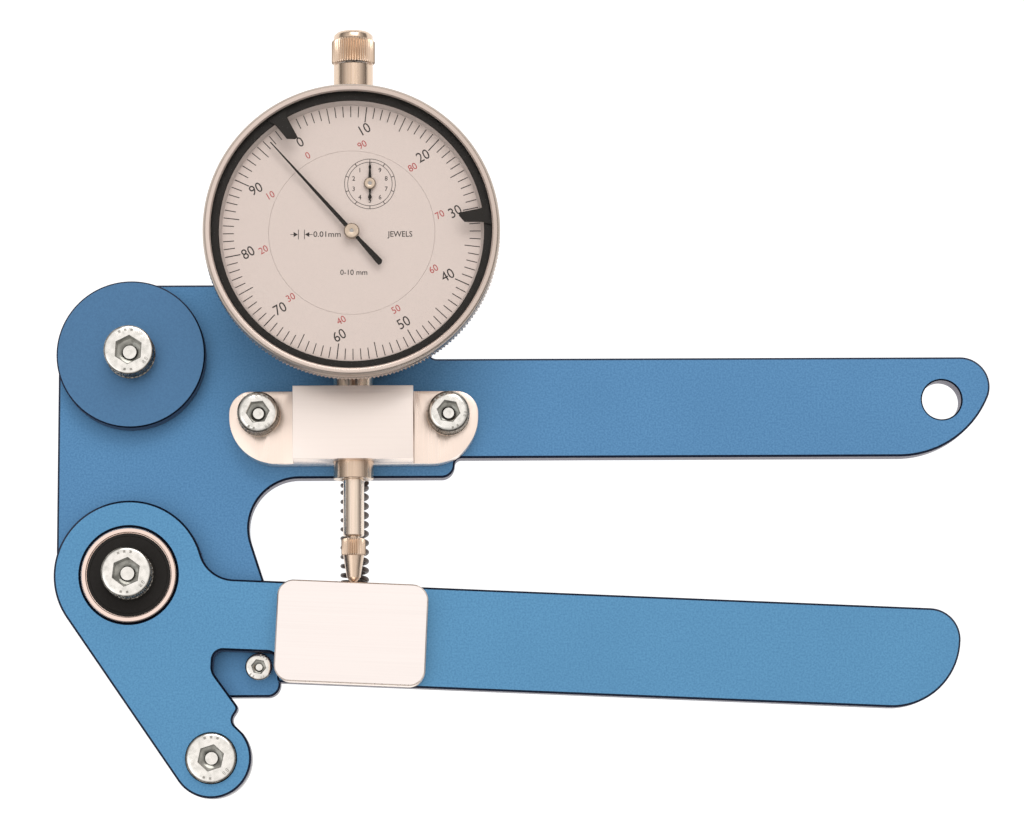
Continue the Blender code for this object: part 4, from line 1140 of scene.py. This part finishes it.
def scale_print():
    """The outer scale: a hundred divisions, numbers one way and small red numbers the other."""
    numbers_at, red_numbers_at, ticks_end = 20.95, 17.85, 25.6
    marks = []
    for i in range(100):
        start = 22.5 if i % 5 == 0 else 23.4
        marks.append(tick(90.0 - 3.6 * i, start, ticks_end, 0.2 if i % 10 == 0 else 0.17))
    for i in range(10):
        angle = 90.0 - 36.0 * i
        at = around(PIVOT, numbers_at, angle)
        marks.append(lettering(str(10 * i), 2.95, INK, at, 0.9))
        at = around(PIVOT, red_numbers_at, angle)
        marks.append(lettering(str((100 - 10 * i) % 100), 2.0, RED_INK, at, 0.92))
    return marks


def printed_circle(centre, radius, width):
    outer, inner = radius + width / 2, radius - width / 2
    rows = [(outer, PRINT), (outer, 0.0), (inner, 0.0), (inner, PRINT)]
    return put(lathe("circle", rows, [INK], 90, True), UNPLACED, (*centre, 0.0))


def face_print():
    """The middle of the dial: a sub-dial, the graduation note and a plain word."""
    inside, outside = 4.42, 5.05
    marks = [printed_circle(SUB_DIAL, outside, 0.1), printed_circle(SUB_DIAL, inside, 0.1)]
    for i in range(10):
        angle = 90.0 + 36.0 * i
        marks.append(tick(angle, inside, outside, 0.14, SUB_DIAL))
        at = around(SUB_DIAL, 3.4, angle)
        marks.append(lettering(str(i), 1.3, INK, at, 0.95, NOTE_WEIGHT))
    row = -0.4
    notes = (("0.01mm", 1.6, (-4.9, row), 1.06), ("JEWELS", 1.6, (9.6, row), 0.94))
    for words, size, at, squeeze in (*notes, ("0-10 mm", 1.5, (0.4, -8.1), 1.0)):
        marks.append(lettering(words, size, INK, at, squeeze, NOTE_WEIGHT))
    for x, way in ((-10.6, 1.0), (-9.4, -1.0)):
        marks.append(oblong(x - 0.06, x + 0.06, row - 0.97, row + 0.97))
        head = [(x - 0.12 * way, row), (x - 0.95 * way, row + 0.5), (x - 0.95 * way, row - 0.5)]
        marks.append(slab("arrow", head[:: int(way)], 0.0, PRINT, INK))
        left, right = sorted((x - 0.9 * way, x - 1.6 * way))
        marks.append(oblong(left, right, row - 0.05, row + 0.05))
    return marks


def show_faces():
    rows = ring_rows(16.53, RING_OUTER, FACE - CARD_DEPTH, FACE, 0.03)
    card = lathe("scale_ring_shown", rows, [CARD], 192, True)
    stand_for(on_dial(card), "scale_ring")
    scale = merged("scale_print", scale_print())
    ride_with(on_dial(scale, FACE + 0.01, SCALE_TURN), "scale_ring")

    holes = [circle(PIVOT, 0.9, 24), circle(SUB_DIAL, 0.9, 24)]
    outline = circle(PIVOT, 16.5, 192)
    inner = plate("inner_dial_shown", outline, FACE - CARD_DEPTH, FACE, [CARD] * 3, holes, 0.03)
    stand_for(on_dial(inner), "inner_dial")
    middle = merged("face_print", face_print())
    ride_with(on_dial(middle, FACE + 0.01), "inner_dial")


def hub(name, radius, low, high, at, node):
    """A pressed hub with a raised ring round its centre mark. The groove inside the ring and the rim's bevel
    are dark grey: painted shade.
    """
    rows = [
        (0.0, high - 0.1), (0.2, high - 0.12), (0.3, high - 0.25), (0.4, high - 0.05), (0.55, high),
        (radius - 0.25, high - 0.02), (radius - 0.1, high - 0.12), (radius, high - 0.3),
        (radius, low), (0.0, low),
    ]
    piece = lathe(name, rows, [HUB, MARK_SHADE], 72, bands={1: 1, 2: 1, 6: 1})
    ride_with(put(piece, GAUGE, (*at, 0.0)), node)


def show_pointers():
    tip, tail = 24.2, 8.75
    outline = [
        (0.09, tip), (-0.09, tip), (-0.42, 1.4), (-0.34, -1.2), (-0.36, -2.2), (-0.62, -tail + 0.9),
        (-0.55, -tail + 0.1), (0.1, -tail), (0.62, -tail + 0.35), (0.62, -tail + 0.9), (0.36, -2.2),
        (0.34, -1.2), (0.42, 1.4),
    ]
    low, high = heights("long_pointer")
    hand = plate("long_pointer_shown", outline, low, high, [BLACK] * 3, edge=0.03)
    stand_for(on_dial(hand, 0.0, POINTER_TURN), "long_pointer")
    top = heights("centre_arbor")[1] + 0.1
    hub("long_pointer_hub", 1.56, low - 0.1, top, DIAL, "long_pointer")

    at = (DIAL[0] + SUB_DIAL[0], DIAL[1] + SUB_DIAL[1])
    outline = [
        (0.08, 4.4), (-0.08, 4.4), (-0.3, 1.0), (-0.24, -1.2), (-0.14, -2.2), (-0.4, -2.75),
        (-0.22, -3.1), (0.0, -3.4), (0.22, -3.1), (0.4, -2.75), (0.14, -2.2), (0.24, -1.2),
        (0.3, 1.0),
    ]
    low, high = heights("small_pointer")
    hand = plate("small_pointer_shown", outline, low, high, [BLACK] * 3, edge=0.03)
    stand_for(put(hand, GAUGE, (*at, 0.0)), "small_pointer")
    top = heights("counter_arbor")[1] + 0.05
    hub("small_pointer_hub", 1.2, low - 0.05, top, at, "small_pointer")


def finish_carried_nodes():
    """Gives each CAD node that still shows its slot's material."""
    for name, node in frame["nodes"].items():
        if node.hide_render:
            continue
        node.data.materials.clear()
        node.data.materials.append(LOOK[SLOT_OF[name]])


# Studio.


def make_floor():
    shape = bmesh.new()
    bmesh.ops.create_grid(shape, x_segments=8, y_segments=8, size=2.5)
    look = material("floor_pale", (0.25, 0.245, 0.24), 0.9)
    shader_of(look).inputs["Emission Color"].default_value = (1.0, 1.0, 1.0, 1.0)
    shader_of(look).inputs["Emission Strength"].default_value = 0.97
    grain = noise(look, 300.0, 2.0)
    set_roughness(look, spread(look, grain, 0.8, 0.95))
    floor = piece_from("floor", shape, [look])
    floor.location.z = -FLOOR_DROP * MM


def add_area(name, place, size, power, colour):
    """A rectangular light that faces the world's origin. place and size are in metres."""
    data = bpy.data.lights.new(name, "AREA")
    data.shape = "RECTANGLE"
    data.size, data.size_y = size
    data.energy = power
    data.color = colour
    light = add_object(name, data)
    light.location = place
    light.rotation_euler = (-Vector(place)).to_track_quat("-Z", "Y").to_euler()


def make_studio():
    """A sky that is bright above and dim at the horizon, and two lamps."""
    world = bpy.data.worlds.new("studio")
    bpy.context.scene.world = world
    world.use_nodes = True
    place = add_node(world, "ShaderNodeTexCoord")
    parts = add_node(world, "ShaderNodeSeparateXYZ")
    scale = add_node(world, "ShaderNodeMapRange", **{"From Min": -1.0})
    link(world, place.outputs["Generated"], parts.inputs["Vector"])
    link(world, parts.outputs["Z"], scale.inputs["Value"])
    stops = [(at, tuple(value * c for c in SKY_WARMTH)) for at, value in SKY]
    sky = ramp(world, scale.outputs["Result"], stops)
    link(world, sky, world.node_tree.nodes["Background"].inputs["Color"])
    add_area("key", (0.1, 0.78, 0.85), (0.8, 0.6), 4.2, (1.0, 0.97, 0.95))
    add_area("fill", (-0.6, -0.3, 0.8), (0.6, 0.6), 0.7, (0.97, 0.98, 1.0))
    view = bpy.context.scene.view_settings
    view.view_transform = "Standard"
    view.look = "None"


def make_camera():
    data = bpy.data.cameras.new("camera")
    data.sensor_width = 36.0
    data.lens = LENS
    data.clip_start = 0.05
    camera = add_object("camera", data)
    put(camera, GAUGE, CAMERA_PLACE, CAMERA_TURN)
    bpy.context.scene.camera = camera


show_plates()
show_blocks()
show_clamp()
show_fasteners()
show_bearing()
show_rollers()
show_spindle()
show_springs()
show_case()
show_bezel()
show_markers()
show_faces()
show_pointers()
finish_carried_nodes()
make_floor()
make_studio()
make_camera()
